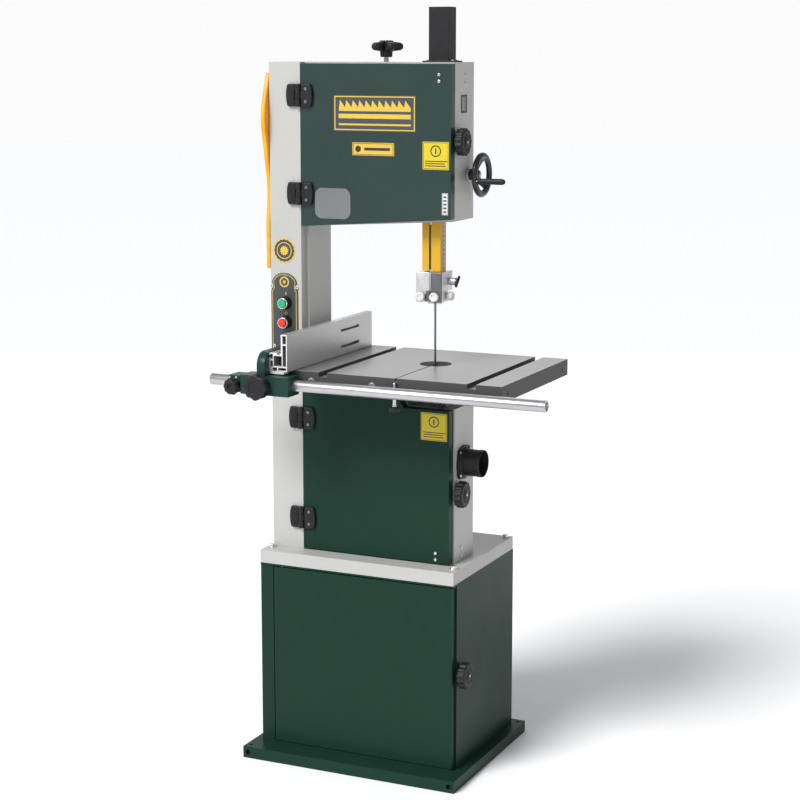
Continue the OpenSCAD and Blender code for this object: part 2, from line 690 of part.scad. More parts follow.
module guide_rack() color(steel) slab_x(rack_x[0], rack_x[1]) rack_outline();
guard_x0 = 118;
guard_z0 = post_z0 + 3;
module blade_guard() color(yellow) {
  t = 2;
  y0 = post_y0 - t;
  front_z1 = 1330;
  side_z1 = 1238;        // top of the side strip, which stays below the wheel
  side_d = 40;
  slot_x = [134.5, 139.5];       // open at its lower end
  slot_end = 12;
  difference() {
    box([guard_x0, y0, guard_z0], [post_x0 + post_w, post_y0, front_z1]);
    box([slot_x[0], y0 - eps, guard_z0 - eps], [slot_x[1], post_y0 + eps, front_z1 - slot_end]);
  }
  box([guard_x0, post_y0, guard_z0], [guard_x0 + t, post_y0 + side_d, side_z1]);
}
module post_cover() color(black) {
  wall = 3;
  foot = [12, 8];        // width of the foot's rim beside, and in front and behind
  cover_z1 = 1708;
  difference() {
    box([cover_lo[0], cover_lo[1], top_z], [cover_hi[0], cover_hi[1], cover_z1]);
    box([cover_lo[0] + wall, cover_lo[1] + wall, top_z - eps],
        [cover_hi[0] - wall, cover_hi[1] - wall, cover_z1 - wall]);
  }
  difference() {
    box([cover_lo[0] - foot[0], cover_lo[1] - foot[1], top_z],
        [cover_hi[0] + foot[0], cover_hi[1] + foot[1], top_z + wall]);
    box([cover_lo[0] + eps, cover_lo[1] + eps, top_z - eps],
        [cover_hi[0] - eps, cover_hi[1] - eps, top_z + wall + eps]);
  }
}
hand_r = 43;
hand_x = 237;
hand_rim_r = 6.5;
grip_len = 64;
grip_angle = 195;        // place of the grip around the rim, from +Y towards +Z
grip_y = hand_y + hand_r * cos(grip_angle);
grip_z = hand_z + hand_r * sin(grip_angle);
module handwheel() {
  color(steel) rod_x([143, hand_y, hand_z], 80, shaft_r);
  color(steel) translate([rack_x[0], hand_y, hand_z]) rotate([90, 0, 90]) linear_extrude(11) pinion_outline();
  color(steel) rod_x([upper_x1 + 0.3, hand_y, hand_z], 6, 10);
  color(black) {
    difference() {
      rod_x([214, hand_y, hand_z], 18, 13);
      rod_x([213, hand_y, hand_z], 20, shaft_r + run);
    }
    translate([hand_x, hand_y, hand_z]) rotate([0, 90, 0])
      rotate_extrude($fn = 96) translate([hand_r, 0]) circle(hand_rim_r, $fn = 24);
    // three spokes, wider at the hub and reaching out to the rim
    for (i = [0 : 2]) translate([0, hand_y, hand_z]) rotate([grip_angle + 120 * i, 0, 0])
      translate([0, 0, -5]) linear_extrude(10)
      polygon([[221, 10], [229, 10], [hand_x + 3, hand_r], [hand_x - 3, hand_r]]);
  }
  color(steel) rod_x([hand_x, grip_y, grip_z], grip_len + 4, grip_pin_r);
}
grip_pin_r = 3;
module crank_grip() color(black) difference() {
  translate([hand_x + 7, grip_y, grip_z]) rotate([0, 90, 0]) rotate_extrude()
    polygon([[0, 0], [5.4, 0], [6.2, 20], [6.8, 50], [6.2, 60], [4, grip_len - 0.5], [0, grip_len]]);
  rod_x([hand_x, grip_y, grip_z], grip_len + 5, grip_pin_r + run);
}

// ---- blade guides ----
side_r = 8;
thrust_r = 11;
thrust_w = 7;
side_x = [blade_x - gap - side_r, blade_x + blade_t + gap + side_r];
thrust_y = blade_y + blade_w / 2 + gap + thrust_r;
holder_z0 = 1066.5;
thrust_z = [1077, 852];
holder_x = [107, 139, 141.6, 168];       // left block, then the right one
holder_y = [-72, -34, -10];              // front and back of the blocks, back of the plate behind
thumb_x = [119.5, 153];
thumb_z = 1079;
thumb_y = -40;           // depth of the thumbscrew in the side
guide_pin_r = 2.5;
screw_r = 3;
module upper_guide_holder() {
  split_z = 1090;
  difference() {
    union() {
      color([0.80, 0.80, 0.80])
        box([holder_x[0], holder_y[0], holder_z0], [holder_x[1], holder_y[1], post_z0]);
      color([0.45, 0.46, 0.47])
        box([holder_x[2], holder_y[0], holder_z0], [holder_x[3], holder_y[1], post_z0]);
      color([0.6, 0.6, 0.6])
        box([holder_x[0], holder_y[1], split_z], [holder_x[3], holder_y[2], post_z0]);
      for (x = [123, 146]) box([x, holder_y[1] - eps, holder_z0], [x + 12, holder_y[2] - 2, split_z]);
    }
    box([135, -49, holder_z0 - eps], [146, -8, split_z]);
    rod_x([120, thrust_y, thrust_z[0]], 40, screw_r);
    for (x = side_x) rod_z([x, blade_y, holder_z0 - eps], 12, guide_pin_r);
    for (x = thumb_x) rod_y([x, holder_y[0] - eps, thumb_z], 12 + eps, screw_r);
    rod_x([155, thumb_y, thumb_z], 14, screw_r);
    rod_x([160, lever_p[1], lever_p[2]], 9, screw_r);
  }
}
// two side bearings and the thrust bearing; the side pins reach up or down into their holder
module bearing_set(z_side, z_thrust, pin_up) {
  side_h = 6;
  pin_h = pin_up ? 17 : 12;
  for (x = side_x) {
    difference() {
      rod_z([x, blade_y, z_side], side_h, side_r);
      rod_z([x, blade_y, z_side - eps], side_h + 2 * eps, guide_pin_r);
    }
    rod_z([x, blade_y, pin_up ? z_side : z_side - side_h], pin_h, guide_pin_r);
  }
  difference() {
    rod_x([blade_x - 3.2, thrust_y, z_thrust], thrust_w, thrust_r);
    rod_x([blade_x - 5, thrust_y, z_thrust], 12, screw_r);
  }
  rod_x([blade_x - 15, thrust_y, z_thrust], 30, screw_r);
}
module thumbscrew(h) {
  shank = 12;
  fluted(10, h, 24, 0.9);
  rod_z([0, 0, -shank], shank, screw_r);
}
module upper_guide_bearings() color(steel) {
  bearing_set(holder_z0 - 6, thrust_z[0], true);
  for (x = thumb_x) translate([x, holder_y[0], thumb_z]) rotate([90, 0, 0]) thumbscrew(9);
  translate([holder_x[3], thumb_y, thumb_z]) rotate([0, 90, 0]) thumbscrew(14);
}
lever_p = [holder_x[3], -26, 1110];
module guide_lock_lever() color(black) translate(lever_p) {
  arm = [6, 14, 3.5];    // thickness, reach to each side and half width
  rod_x([0.3, 0, 0], 18, 7.5);
  rod_x([-7, 0, 0], 8, screw_r - run);
  translate([12, 0, 0]) rotate([45, 0, 0]) box([0, -arm[1], -arm[2]], arm);
}
holder_top = 859.5;
module lower_guide_holder() color(iron) difference() {
  foot_t = 4;
  union() {
    box([106, -60, lower_z_low], [172, -8, lower_z_low + foot_t]);
    for (x = [116, 146]) box([x, -52, lower_z_low], [x + 18, -32, holder_top]);
    for (x = [124, 146]) box([x, -33, lower_z_low], [x + 10, -10, 864]);
  }
  // way for the blade
  box([134, -61, lower_z_low - eps], [146, -7, lower_z_low + foot_t + 2]);
  rod_x([110, thrust_y, thrust_z[1]], 60, screw_r);
  for (x = side_x) rod_z([x, blade_y, holder_top - 12], 20, guide_pin_r);
}
module lower_guide_bearings() color(steel) bearing_set(holder_top, thrust_z[1], false);

// ---- table ----
tilt_x = blade_x + blade_t / 2;          // tilt axis, along Y in the table's surface
slot_x = [tilt_x - 175, tilt_x + 175];
insert_p = [140, -38];
insert_r = 36;
insert_t = 5;
web_z = table_z - web_t;
module table() color(iron) {
  rim = 12;
  slot_d = 10;
  rib = [7, 16];         // thickness of a rib below the plate, and its height
  kerf = 3;              // slot from the front edge, for fitting the blade
  difference() {
    union() {
      box([table_x0, table_y0, web_z], [table_x1, table_y1, table_z]);
      difference() {
        box([table_x0, table_y0, table_z - rim_h], [table_x1, table_y1, web_z]);
        box([table_x0 + rim, table_y0 + rim, table_z - rim_h - eps],
            [table_x1 - rim, table_y1 - rim, web_z + eps]);
      }
      for (x = slot_x) box([x - 18, table_y0 + eps, table_z - slot_d - 10],
                           [x + 18, table_y1 - eps, web_z + eps]);
      for (y = [-135, 40])
        box([table_x0 + eps, y, web_z - rib[1]], [table_x1 - eps, y + rib[0], web_z + eps]);
    }
    for (x = slot_x) box([x - slot_w / 2, table_y0 - eps, table_z - slot_d],
                         [x + slot_w / 2, table_y1 + eps, table_z + eps]);
    rod_z([insert_p[0], insert_p[1], table_z - insert_t], insert_t + eps, insert_r);
    rod_z([insert_p[0], insert_p[1], web_z - eps], web_t + 2 * eps, insert_r - 4);
    box([tilt_x - kerf / 2, table_y0 - eps, table_z - rim_h - eps],
        [tilt_x + kerf / 2, insert_p[1], table_z + eps]);
    for (y = [-216, 117]) rod_x([table_x1 - rim - eps, y, bolt_z], rim + 2 * eps, 3.5);
    for (x = rail_bolts) rod_y([x, table_y0 - eps, bolt_z], rim + 2 * eps, bolt_r);
  }
}
module table_insert() color([0.14, 0.14, 0.15]) difference() {
  rod_z([insert_p[0], insert_p[1], table_z - insert_t], insert_t, insert_r - 0.1);
  box([tilt_x - 2.2, blade_y - 12, table_z - insert_t - eps], [tilt_x + 6.5, blade_y + 10, table_z + eps]);
}
pin_p = [tilt_x, table_y0 - 6.5];
module alignment_pin() translate(pin_p) {
  rod_r = 3;
  knob_z = 853;
  hook_z = 914;
  start = knob_z + 9;
  color(steel) {
    rod_z([0, 0, start], hook_z - start, rod_r);
    translate([0, 0, hook_z]) sphere(rod_r);
    rod_y([0, 0, hook_z], table_y0 - pin_p[1] - 1.1, rod_r);
  }
  color(black) translate([0, 0, knob_z]) fluted(12, 11, 12, 1.5);
}
trunnion_r = [60, 84];
trunnion_y = [[-82, -68], [-2, 12]];
module trunnions() color(iron) for (y = trunnion_y) difference() {
  ring_y([tilt_x, table_z], y[0], y[1], trunnion_r[0], trunnion_r[1]);
  box([tilt_x - 100, y[0] - eps, web_z], [tilt_x + 100, y[1] + eps, table_z + 100]);
}
module trunnion_bracket() color(iron) {
  x = [95, 185];
  difference() {
    for (y = trunnion_y) box([x[0], y[0] - 1, lower_z_low], [x[1], y[1] + 1, lower_z_low + 19]);
    rod_y([tilt_x, trunnion_y[0][0] - 5, table_z], 110, trunnion_r[1] + 0.3);
  }
  // bar between the two saddles
  box([x[1] - 10, trunnion_y[0][1] - eps, lower_z_low], [x[1], trunnion_y[1][0] + eps, lower_z_low + 8]);
}
lock_p = [176, -83.4, 845];
module tilt_lock_lever() color(black) translate(lock_p) {
  arm = [62, 7, 8];      // reach, thickness and height
  mid_y = -10.5;
  rod_y([0, -16, 0], 16, 8);
  box([-arm[0], mid_y - arm[1] / 2, -arm[2] / 2], [0, mid_y + arm[1] / 2, arm[2] / 2]);
  rod_x([-arm[0] - 10, mid_y, 0], 12, 7);
}

// ---- fence ----
rail_bolts = [-62, 84];
bolt_z = 904;
rail_posts = [-20, 128, 250, 372];
module fence_rail() color(steel) {
  wall = 3;
  post_y = rail_y + 8;
  washer = [1.5, 8];     // thickness and radius
  head = [3.5, 6];
  difference() {
    rod_x([rail_x0, rail_y, rail_z], rail_x1 - rail_x0, rail_r);
    rod_x([rail_x0 - eps, rail_y, rail_z], rail_x1 - rail_x0 + 2 * eps, rail_r - wall);
  }
  for (x = rail_posts) difference() {
    rod_y([x, post_y, rail_z - 3], table_y0 - post_y, 6);
    rod_x([x - 20, rail_y, rail_z], 40, rail_r);
  }
  for (x = rail_bolts) translate([x, table_y0, bolt_z]) {
    rod_y([0, 0, 0], 12, bolt_r);
    rod_y([0, -washer[0], 0], washer[0], washer[1]);
    hex_y([0, -washer[0] - head[0], 0], head[0], head[1]);
  }
}
carrier_x = [-206, -88];
carrier_y = [-310, -260];
carrier_z = [875, 917];
micro_x = [-238, -210];
fence_x0 = fence_x1 - 44;
fence_z = table_z + 1;
clamp_p = [-158, 895];
micro_p = [-226, 890];
micro_y0 = -306;
arch_x = [fence_x0 - 19, fence_x0];      // plate that holds the fence
arch_h = 43;
arch_r = 30;             // rounding of its upper front corner
// way of the rail and of its posts through the sliding parts
module rail_grip() {
  rod_x([-400, rail_y, rail_z], 600, rail_r + run + 0.03);
  box([-400, rail_y, rail_z - 11], [200, table_y0 + 50, rail_z + 8]);
}
module fence_carrier() color(green) {
  difference() {
    union() {
      box([carrier_x[0], carrier_y[0], carrier_z[0]], [carrier_x[1], carrier_y[1], carrier_z[1]]);
      box([arch_x[0], -306, carrier_z[1] - eps], [arch_x[1], -262, fence_z + 1]);
      slab_x(arch_x[0], arch_x[1]) difference() {
        union() {
          translate([-276, fence_z]) square([66, arch_h]);
          translate([-306, fence_z]) square([40, arch_h - arch_r]);
          translate([-276, fence_z + arch_h - arch_r]) circle(arch_r);
        }
        translate([-310, fence_z - 2 * arch_r]) square([110, 2 * arch_r]);
      }
    }
    rail_grip();
    rod_y([clamp_p[0], carrier_y[0] - eps, clamp_p[1]], 17, clamp_r + run);
  }
  difference() {
    union() {
      box([micro_x[0], micro_y0, 877], [micro_x[1], carrier_y[1] - 2, 914]);
      // screw between the two blocks, with its wheel
      translate([micro_x[1], -301, 906]) {
        rod_x([-eps, 0, 0], carrier_x[0] - micro_x[1] + eps - gap, screw_r);
        rod_x([1, 0, 0], 2, 4.5);
      }
    }
    rail_grip();
    rod_y([micro_p[0], micro_y0 - eps, micro_p[1]], 12, bolt_r + run);
  }
}
module fence() color(steel) {
  wall = 2.5;
  foot_w = fence_x1 - fence_x0;
  foot_h = 41;
  upright = 15;
  // hollows of the profile: x, z, width and height from its lower left corner
  hollows = [
    [11.5, 12, 19.5, 22.5], [33.2, 12, 8.3, 46], [33.2, 61, 8.3, 18],
    [3, 10.5, 5.7, 13], [3, 27.5, 5.7, 10.5], [-eps, 31, 4, 4.5],
    [8, 3, 11, 5.5], [11, -eps, 5, 4], [22.5, 3, 19, 5.5], [20, foot_h - 4, 6, 5]
  ];
  slot_y = [-22, 72];
  slot_h = 7;
  difference() {
    translate([fence_x0, 0, fence_z]) slab_y(fence_y0, fence_y1) difference() {
      union() {
        translate([0.1, 0]) square([foot_w - 0.1, foot_h]);
        translate([foot_w - upright, 0]) square([upright, fence_h]);
      }
      for (h = hollows) translate([h[0], h[1]]) square([h[2], h[3]]);
    }
    for (z = [fence_z + 16, fence_z + 54])
      box([fence_x1 - wall - eps, slot_y[0], z], [fence_x1 + eps, slot_y[1], z + slot_h]);
  }
}
clamp_r = 5;
module clamp_knob() color(black) translate([clamp_p[0], carrier_y[0] - 0.3, clamp_p[1]]) rotate([90, 0, 0]) {
  rod_z([0, 0, -13], 20, clamp_r);
  rod_z([0, 0, 0], 7, 12);
  translate([0, 0, 6]) fluted(29, 19, 7, 9);
}
module micro_adjust_knob() color(black)
  translate([micro_p[0], micro_y0 - 0.3, micro_p[1]]) rotate([90, 0, 0]) {
    rod_z([0, 0, -10], 14, bolt_r);
    fluted(18.5, 17, 6, 6);
  }

// ---- small parts on the frame ----
module dust_port() color(black) {
  flange_r = 43.5;
  flange_t = 5;
  screw_ring_r = 37;
  out = 50;
  difference() {
    union() {
      rod_x([lower_x1, dust_y, dust_z], flange_t, flange_r);
      rod_x([lower_x1, dust_y, dust_z], out, dust_r);
    }
    rod_x([lower_x1 - eps, dust_y, dust_z], out + 2 * eps, dust_bore_r);
  }
  color(steel) for (a = [45 : 90 : 315])
    rod_x([lower_x1 + flange_t, dust_y + screw_ring_r * cos(a), dust_z + screw_ring_r * sin(a)], 2, 3.5);
}
plate_lo = [-235, 936];
plate_hi = [-167, 1119];
collar_r = 14;
button_r = 9.5;
button_y = front_y - 26;
module switch_plate() {
  plate_t = 2;
  plate_y = front_y - plate_t;
  collar_h = 17;
  ring_h = 3;
  bore_r = button_r + 0.3;
  color([0.20, 0.24, 0.27]) difference() {
    slab_y(plate_y, front_y) round_rect(plate_lo, plate_hi, 12);
    for (z = button_z) rod_y([button_x, plate_y - eps, z], plate_t + 2 * eps, button_bore_r);
  }
  color(black) for (z = button_z)
    ring_y([button_x, z], plate_y - collar_h, plate_y, bore_r, collar_r);
  color(steel) for (z = button_z)
    ring_y([button_x, z], plate_y - collar_h - ring_h, plate_y - collar_h, bore_r, 12.6);
  // switch box inside the column
  color(black) difference() {
    box([-226, front_y + plate, 985], [-168, front_y + 36, 1075]);
    for (z = button_z) rod_y([button_x, front_y, z], 24, 8);
  }
  // gland for the mains lead, on the back of the column
  color(black) difference() {
    union() {
      hex_y([gland_x, back_y, gland_z], 10, 15);
      rod_y([gland_x, back_y + 9, gland_z], 20, 10);
    }
    rod_y([gland_x, back_y - eps, gland_z], 31, 4.5);
  }
}
module push_button(z) {
  cap_h = 8;
  rod_y([button_x, button_y, z], cap_h, button_r);
  rod_y([button_x, button_y + cap_h - eps, z], 34, 6.5);
}
module start_button() color([0.05, 0.6, 0.35]) push_button(button_z[0]);
module stop_button() color([0.85, 0.1, 0.1]) push_button(button_z[1]);
peg_p = [-84, 1490];
stick_x = [col_x0 - 12.5, col_x0 - 2];
module push_stick() {
  peg_r = 4.5;
  color([1.0, 0.58, 0.08]) slab_x(stick_x[0], stick_x[1]) difference() {
    polygon([[-105, 1566], [-121, 1515], [-131, 1480], [-129, 1445], [-121, 1405], [-106, 1330], [-102, 1290],
      [-110, 1235], [-109, 1127], [-96, 1127], [-90, 1143], [-79, 1127], [-71, 1127], [-74, 1240],
      [-80, 1340], [-78, 1400], [-66, 1450], [-61, 1500], [-68, 1545], [-86, 1566]]);
    translate(peg_p) circle(peg_r + 0.8);
  }
  color(black) {
    rod_x([stick_x[0] - 5, peg_p[0], peg_p[1]], col_x0 - stick_x[0] + 5, peg_r);
    rod_x([stick_x[1], peg_p[0], peg_p[1]], col_x0 - stick_x[1], 12);
  }
}

base_plinth();
cabinet_body();
cabinet_lid();
cabinet_door();
frame_fasteners();
column();
upper_wheel_housing();
lower_wheel_housing();
upper_door();
door_window();
lower_door();
frame_hinge_leaves();
upper_door_leaves();
lower_door_leaves();
upper_latch();
lower_latch();
cabinet_latch();
upper_wheel();
upper_tyre();
upper_bearings();
upper_axle();
carriage();
tension_screw();
tension_spring();
tracking_knob();
lower_wheel();
lower_tyre();
lower_bearings();
lower_axle();
motor();
motor_pulley();
drive_belt();
blade();
guide_post();
guide_rack();
blade_guard();
post_cover();
handwheel();
crank_grip();
upper_guide_holder();
upper_guide_bearings();
guide_lock_lever();
lower_guide_holder();
lower_guide_bearings();
table();
table_insert();
alignment_pin();
trunnions();
trunnion_bracket();
tilt_lock_lever();
fence_rail();
fence_carrier();
fence();
clamp_knob();
micro_adjust_knob();
dust_port();
switch_plate();
start_button();
stop_button();
push_stick();
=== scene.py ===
"""Looks of a floor-standing band saw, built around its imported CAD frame.

Pieces are measured in mm, the stage in metres. +Z is up and the front faces -Y.
"""

import json
from math import atan2, copysign, cos, degrees, exp, pi, radians, sin

import bmesh
import bpy
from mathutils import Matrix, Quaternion, Vector


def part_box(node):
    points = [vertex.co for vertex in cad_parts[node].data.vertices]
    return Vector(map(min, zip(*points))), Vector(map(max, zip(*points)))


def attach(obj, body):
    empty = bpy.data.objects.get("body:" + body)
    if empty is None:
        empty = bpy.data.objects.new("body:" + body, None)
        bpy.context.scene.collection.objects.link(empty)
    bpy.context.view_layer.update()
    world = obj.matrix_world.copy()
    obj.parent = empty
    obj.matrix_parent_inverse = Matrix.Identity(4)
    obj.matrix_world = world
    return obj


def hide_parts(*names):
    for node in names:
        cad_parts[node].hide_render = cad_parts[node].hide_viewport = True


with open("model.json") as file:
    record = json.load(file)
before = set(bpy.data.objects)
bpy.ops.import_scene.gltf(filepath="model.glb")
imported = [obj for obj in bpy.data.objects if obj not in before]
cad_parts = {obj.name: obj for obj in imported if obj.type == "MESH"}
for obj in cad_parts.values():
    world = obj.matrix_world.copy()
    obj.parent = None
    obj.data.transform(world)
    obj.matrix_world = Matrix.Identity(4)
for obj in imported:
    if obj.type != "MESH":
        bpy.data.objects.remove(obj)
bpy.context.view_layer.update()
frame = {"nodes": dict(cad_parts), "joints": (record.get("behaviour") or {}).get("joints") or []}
MM = 0.001
X, Y, Z = Vector((1, 0, 0)), Vector((0, 1, 0)), Vector((0, 0, 1))


# ---- places from the frame, in mm ----
def box(node):
    """Lowest and highest corner of a CAD node."""
    return [Vector(corner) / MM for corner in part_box(node)]


def low(node):
    return box(node)[0]


def high(node):
    return box(node)[1]


def middle(node):
    return (low(node) + high(node)) / 2


def pivot(name):
    """Point on the axis of a joint."""
    return Vector(next(j for j in frame["joints"] if j["name"] == name)["pos_m"]) / MM


# ---- materials ----
class Shade:
    """A node material, built from small named steps."""

    def __init__(self, name, colour, rough, metal=0.0):
        self.mat = bpy.data.materials.new(name)
        self.mat.use_nodes = True
        self.nodes, self.links = self.mat.node_tree.nodes, self.mat.node_tree.links
        self.bsdf = self.nodes["Principled BSDF"]
        self.coords = self.nodes.new("ShaderNodeTexCoord").outputs
        self.colour, self.rough = colour, rough
        self.put(self.bsdf, {"Base Color": (*colour, 1), "Roughness": rough, "Metallic": metal})

    def put(self, node, inputs):
        """Sets a node's inputs, or links them where a value comes from another node."""
        for socket, value in inputs.items():
            if isinstance(value, bpy.types.NodeSocket):
                self.links.new(value, node.inputs[socket])
            else:
                node.inputs[socket].default_value = value

    def set(self, socket, value):
        self.put(self.bsdf, {socket: value})

    def node(self, kind, output, **inputs):
        """An output of a new node."""
        made = self.nodes.new("ShaderNode" + kind)
        self.put(made, inputs)
        return made.outputs[output]

    def noise(self, scale, detail, stretch=(1, 1, 1)):
        """Noise from 0 to 1, with scale features in a metre, drawn out where stretch is small."""
        spot = self.node("Mapping", "Vector", Vector=self.coords["Object"], Scale=stretch)
        return self.node("TexNoise", "Fac", Vector=spot, Scale=scale, Detail=detail)

    def cells(self, scale):
        return self.node("TexVoronoi", "Distance", Vector=self.coords["Object"], Scale=scale)

    def remap(self, value, low_in, high_in, low_out, high_out):
        ends = {"From Min": low_in, "From Max": high_in, "To Min": low_out, "To Max": high_out}
        return self.node("MapRange", "Result", Value=value, **ends)

    def blend(self, factor, first, second):
        """Mixes two colours, or colour sockets, by a factor."""
        node = self.nodes.new("ShaderNodeMix")
        node.data_type = "RGBA"
        first, second = ((*c, 1) if isinstance(c, tuple) else c for c in (first, second))
        self.put(node, {"Factor": factor, "A": first, "B": second})
        return node.outputs["Result"]

    def tone(self, value, dark, light):
        """The material's colour, times dark to light as a value goes from 0.3 to 0.7."""
        first, second = (tuple(min(1, c * share) for c in self.colour) for share in (dark, light))
        return self.blend(self.remap(value, 0.3, 0.7, 0, 1), first, second)

    def vary_colour(self, scale, amount, detail=4.0, stretch=(1, 1, 1)):
        """Makes the colour a little darker and lighter in patches."""
        self.set("Base Color", self.tone(self.noise(scale, detail, stretch), 1 - amount, 1 + amount))

    def vary_rough(self, scale, amount, detail=4.0, stretch=(1, 1, 1)):
        noise = self.noise(scale, detail, stretch)
        self.set("Roughness", self.remap(noise, 0.25, 0.75, self.rough - amount, self.rough + amount))

    def bump(self, height, depth, strength=1.0, after=None):
        """Raises the surface by depth metres where height is 1, on top of another bump."""
        under = {"Normal": after} if after else {}
        normal = self.node("Bump", "Normal", Height=height, Distance=depth, Strength=strength, **under)
        self.set("Normal", normal)
        return normal

    def facing(self, axis, start, end):
        """0 to 1 as the object's own surface turns to face its X, Y or Z axis."""
        size = self.nodes.new("ShaderNodeMath")
        size.operation = "ABSOLUTE"
        self.put(size, {0: self.node("SeparateXYZ", axis, Vector=self.coords["Normal"])})
        return self.remap(size.outputs[0], start, end, 0, 1)


def surface(name, colour, rough, tone, gloss, grains, metal=0.0, shine=0.5):
    """Material with changes of tone and gloss, (scale, amount) each, and grains laid over one another.

    A grain is (scale, detail, depth, strength); one without detail is made of cells.
    """
    s = Shade(name, colour, rough, metal)
    s.set("Specular IOR Level", shine)
    s.vary_colour(*tone)
    s.vary_rough(*gloss)
    under = None
    for scale, detail, depth, strength, *stretch in grains:
        height = s.noise(scale, detail, *stretch) if detail else s.cells(scale)
        under = s.bump(height, depth, strength, under)
    return s.mat


def powder_coat(name, colour, rough, peel=0.00005, shine=0.5):
    """Oven-baked paint: a faint orange peel, slow changes of tone and gloss."""
    grains = [(420, 2, peel, 1), (26, 2, 4 * peel, 0.5)]
    return surface(name, colour, rough, (2.2, 0.035), (9, 0.05), grains, shine=shine)


def moulded(name, colour, rough=0.45, grain=0.00006, shine=0.5):
    """Moulded plastic with a spark-eroded grain and rubbed high spots."""
    grains = [(1400, 0, grain, 1), (90, 3, grain, 0.6)]
    return surface(name, colour, rough, (38, 0.16), (70, 0.07), grains, shine=shine)


def drawn_metal(name, colour, rough, along):
    """Metal with fine lines along one axis."""
    lines, depth, stretch = 900, 0.000012, [1.0, 1.0, 1.0]
    stretch[along] = 0.012
    grains = [(lines, 2, depth, 1, stretch), (30, 2, 3 * depth, 0.5)]
    tone, gloss = (lines, 0.1, 2, stretch), (lines / 3, 0.08, 2, stretch)
    return surface(name, colour, rough, tone, gloss, grains, 1.0)


def turned_metal(name, colour, rough):
    """Small bright metal parts: zinc or nickel, with a fine even grain."""
    return surface(name, colour, rough, (140, 0.08), (220, 0.08), [(900, 3, 0.000015, 1)], 1.0)


def rough_casting(name, colour, rough=0.6, metal=0.35):
    """Sand-cast iron under thin paint."""
    grains = [(240, 6, 0.00035, 1), (520, 0, 0.00012, 0.6)]
    return surface(name, colour, rough, (60, 0.14), (90, 0.1), grains, metal)


def printed(name, colour, rough):
    """Printed foil or a painted badge with a very fine texture."""
    return surface(name, colour, rough, (180, 0.05), (120, 0.05), [(1500, 2, 0.00001, 1)])


def ground_table():
    """Cast-iron table: a ground, waxed top with grinding lines, and painted rough sides."""
    side = (0.075, 0.074, 0.074)
    s = Shade("ground_cast_iron", (0.36, 0.345, 0.335), 0.4, 0.55)
    lines = s.noise(520, 3, (0.02, 1, 1))
    clouds = s.remap(s.noise(7, 5), 0.52, 0.8, 0, 0.35)
    stained = s.blend(clouds, s.tone(lines, 0.88, 1.1), (0.24, 0.225, 0.215))
    flat = s.facing("Z", 0.9, 0.98)
    s.set("Base Color", s.blend(flat, side, stained))
    s.set("Roughness", s.remap(flat, 0, 1, 0.55, 0.3))
    cast = s.bump(s.noise(260, 5), 0.00018, 0.35)
    s.bump(lines, 0.00002, 1.0, after=cast)
    return s.mat


def extruded_aluminium():
    """Fence profile: die lines along its length and brighter sawn ends."""
    s = Shade("extruded_aluminium", (0.56, 0.56, 0.55), 0.36, 0.75)
    lines = s.noise(700, 2, (1, 0.01, 1))
    sawn = s.facing("Y", 0.9, 0.98)
    s.set("Base Color", s.blend(sawn, s.tone(lines, 0.93, 1.05), (0.9, 0.9, 0.9)))
    s.set("Roughness", s.remap(lines, 0.3, 0.7, 0.3, 0.42))
    skin = s.bump(lines, 0.000015)
    s.bump(s.noise(45, 3), 0.00004, 0.4, after=skin)
    return s.mat


def see_through():
    """Smoked window pane: cloudy, with fine scratches."""
    s = Shade("smoked_pane", (0.2, 0.207, 0.215), 0.34)
    s.vary_colour(14, 0.06)
    s.vary_rough(90, 0.06)
    s.set("Transmission Weight", 0.25)
    s.set("IOR", 1.49)
    s.bump(s.noise(300, 3), 0.00003)
    return s.mat


def rubber_skin():
    s = Shade("rubber", (0.028, 0.027, 0.026), 0.72)
    s.vary_colour(110, 0.25)
    s.bump(s.noise(520, 4), 0.00009)
    return s.mat


WHITE = powder_coat("white_coat", (0.435, 0.43, 0.412), 0.4)
GREEN = powder_coat("green_coat", (0.0085, 0.032, 0.0215), 0.34, shine=0.12)
# the upper door's green: real higher gloss, and a lighter, greyer colour that is painted sheen standing in
# for the bright room reflected in it
GREEN_WITH_PAINTED_SHEEN = powder_coat("green_coat_with_painted_sheen", (0.013, 0.034, 0.03), 0.32, shine=0.42)
CAST_GREEN = powder_coat("green_casting", (0.011, 0.04, 0.033), 0.38, 0.00016, 0.2)
YELLOW = powder_coat("yellow_coat", (0.6, 0.34, 0.022), 0.36, shine=0.2)
BLACK = moulded("black_plastic", (0.014, 0.014, 0.0155), shine=0.26)
GLOSS_BLACK = moulded("polished_plastic", (0.012, 0.012, 0.013), 0.2, 0.00001)
WHITE_PLASTIC = moulded("white_plastic", (0.62, 0.62, 0.6), 0.4, 0.00002)
INK = moulded("black_paint", (0.02, 0.02, 0.022), 0.35, 0.00003)
INSERT = moulded("insert_plastic", (0.024, 0.023, 0.022), 0.7, shine=0.15)
ORANGE = moulded("orange_plastic", (1.0, 0.36, 0.012), 0.4)
RED = moulded("red_plastic", (0.74, 0.03, 0.02), 0.3, 0.00002)
LEAF_GREEN = moulded("green_plastic", (0.015, 0.36, 0.16), 0.3, 0.00002)
TABLE_IRON = ground_table()
ALUMINIUM = extruded_aluminium()
RAIL = drawn_metal("rail_steel", (0.55, 0.55, 0.565), 0.33, 0)
BAND = drawn_metal("blade_steel", (0.16, 0.165, 0.175), 0.36, 2)
SHAFT = turned_metal("turned_steel", (0.62, 0.62, 0.63), 0.25)
ZINC = turned_metal("zinc", (0.74, 0.74, 0.75), 0.3)
DARK_ZINC = turned_metal("dark_zinc", (0.24, 0.24, 0.25), 0.38)
LIGHT_CAST = turned_metal("cast_aluminium", (0.66, 0.66, 0.66), 0.46)
DARK_CAST = turned_metal("dark_casting", (0.17, 0.175, 0.185), 0.45)
IRON = rough_casting("cast_iron", (0.16, 0.16, 0.165))
MOTOR_PAINT = rough_casting("motor_paint", (0.035, 0.036, 0.04), 0.42, 0.0)
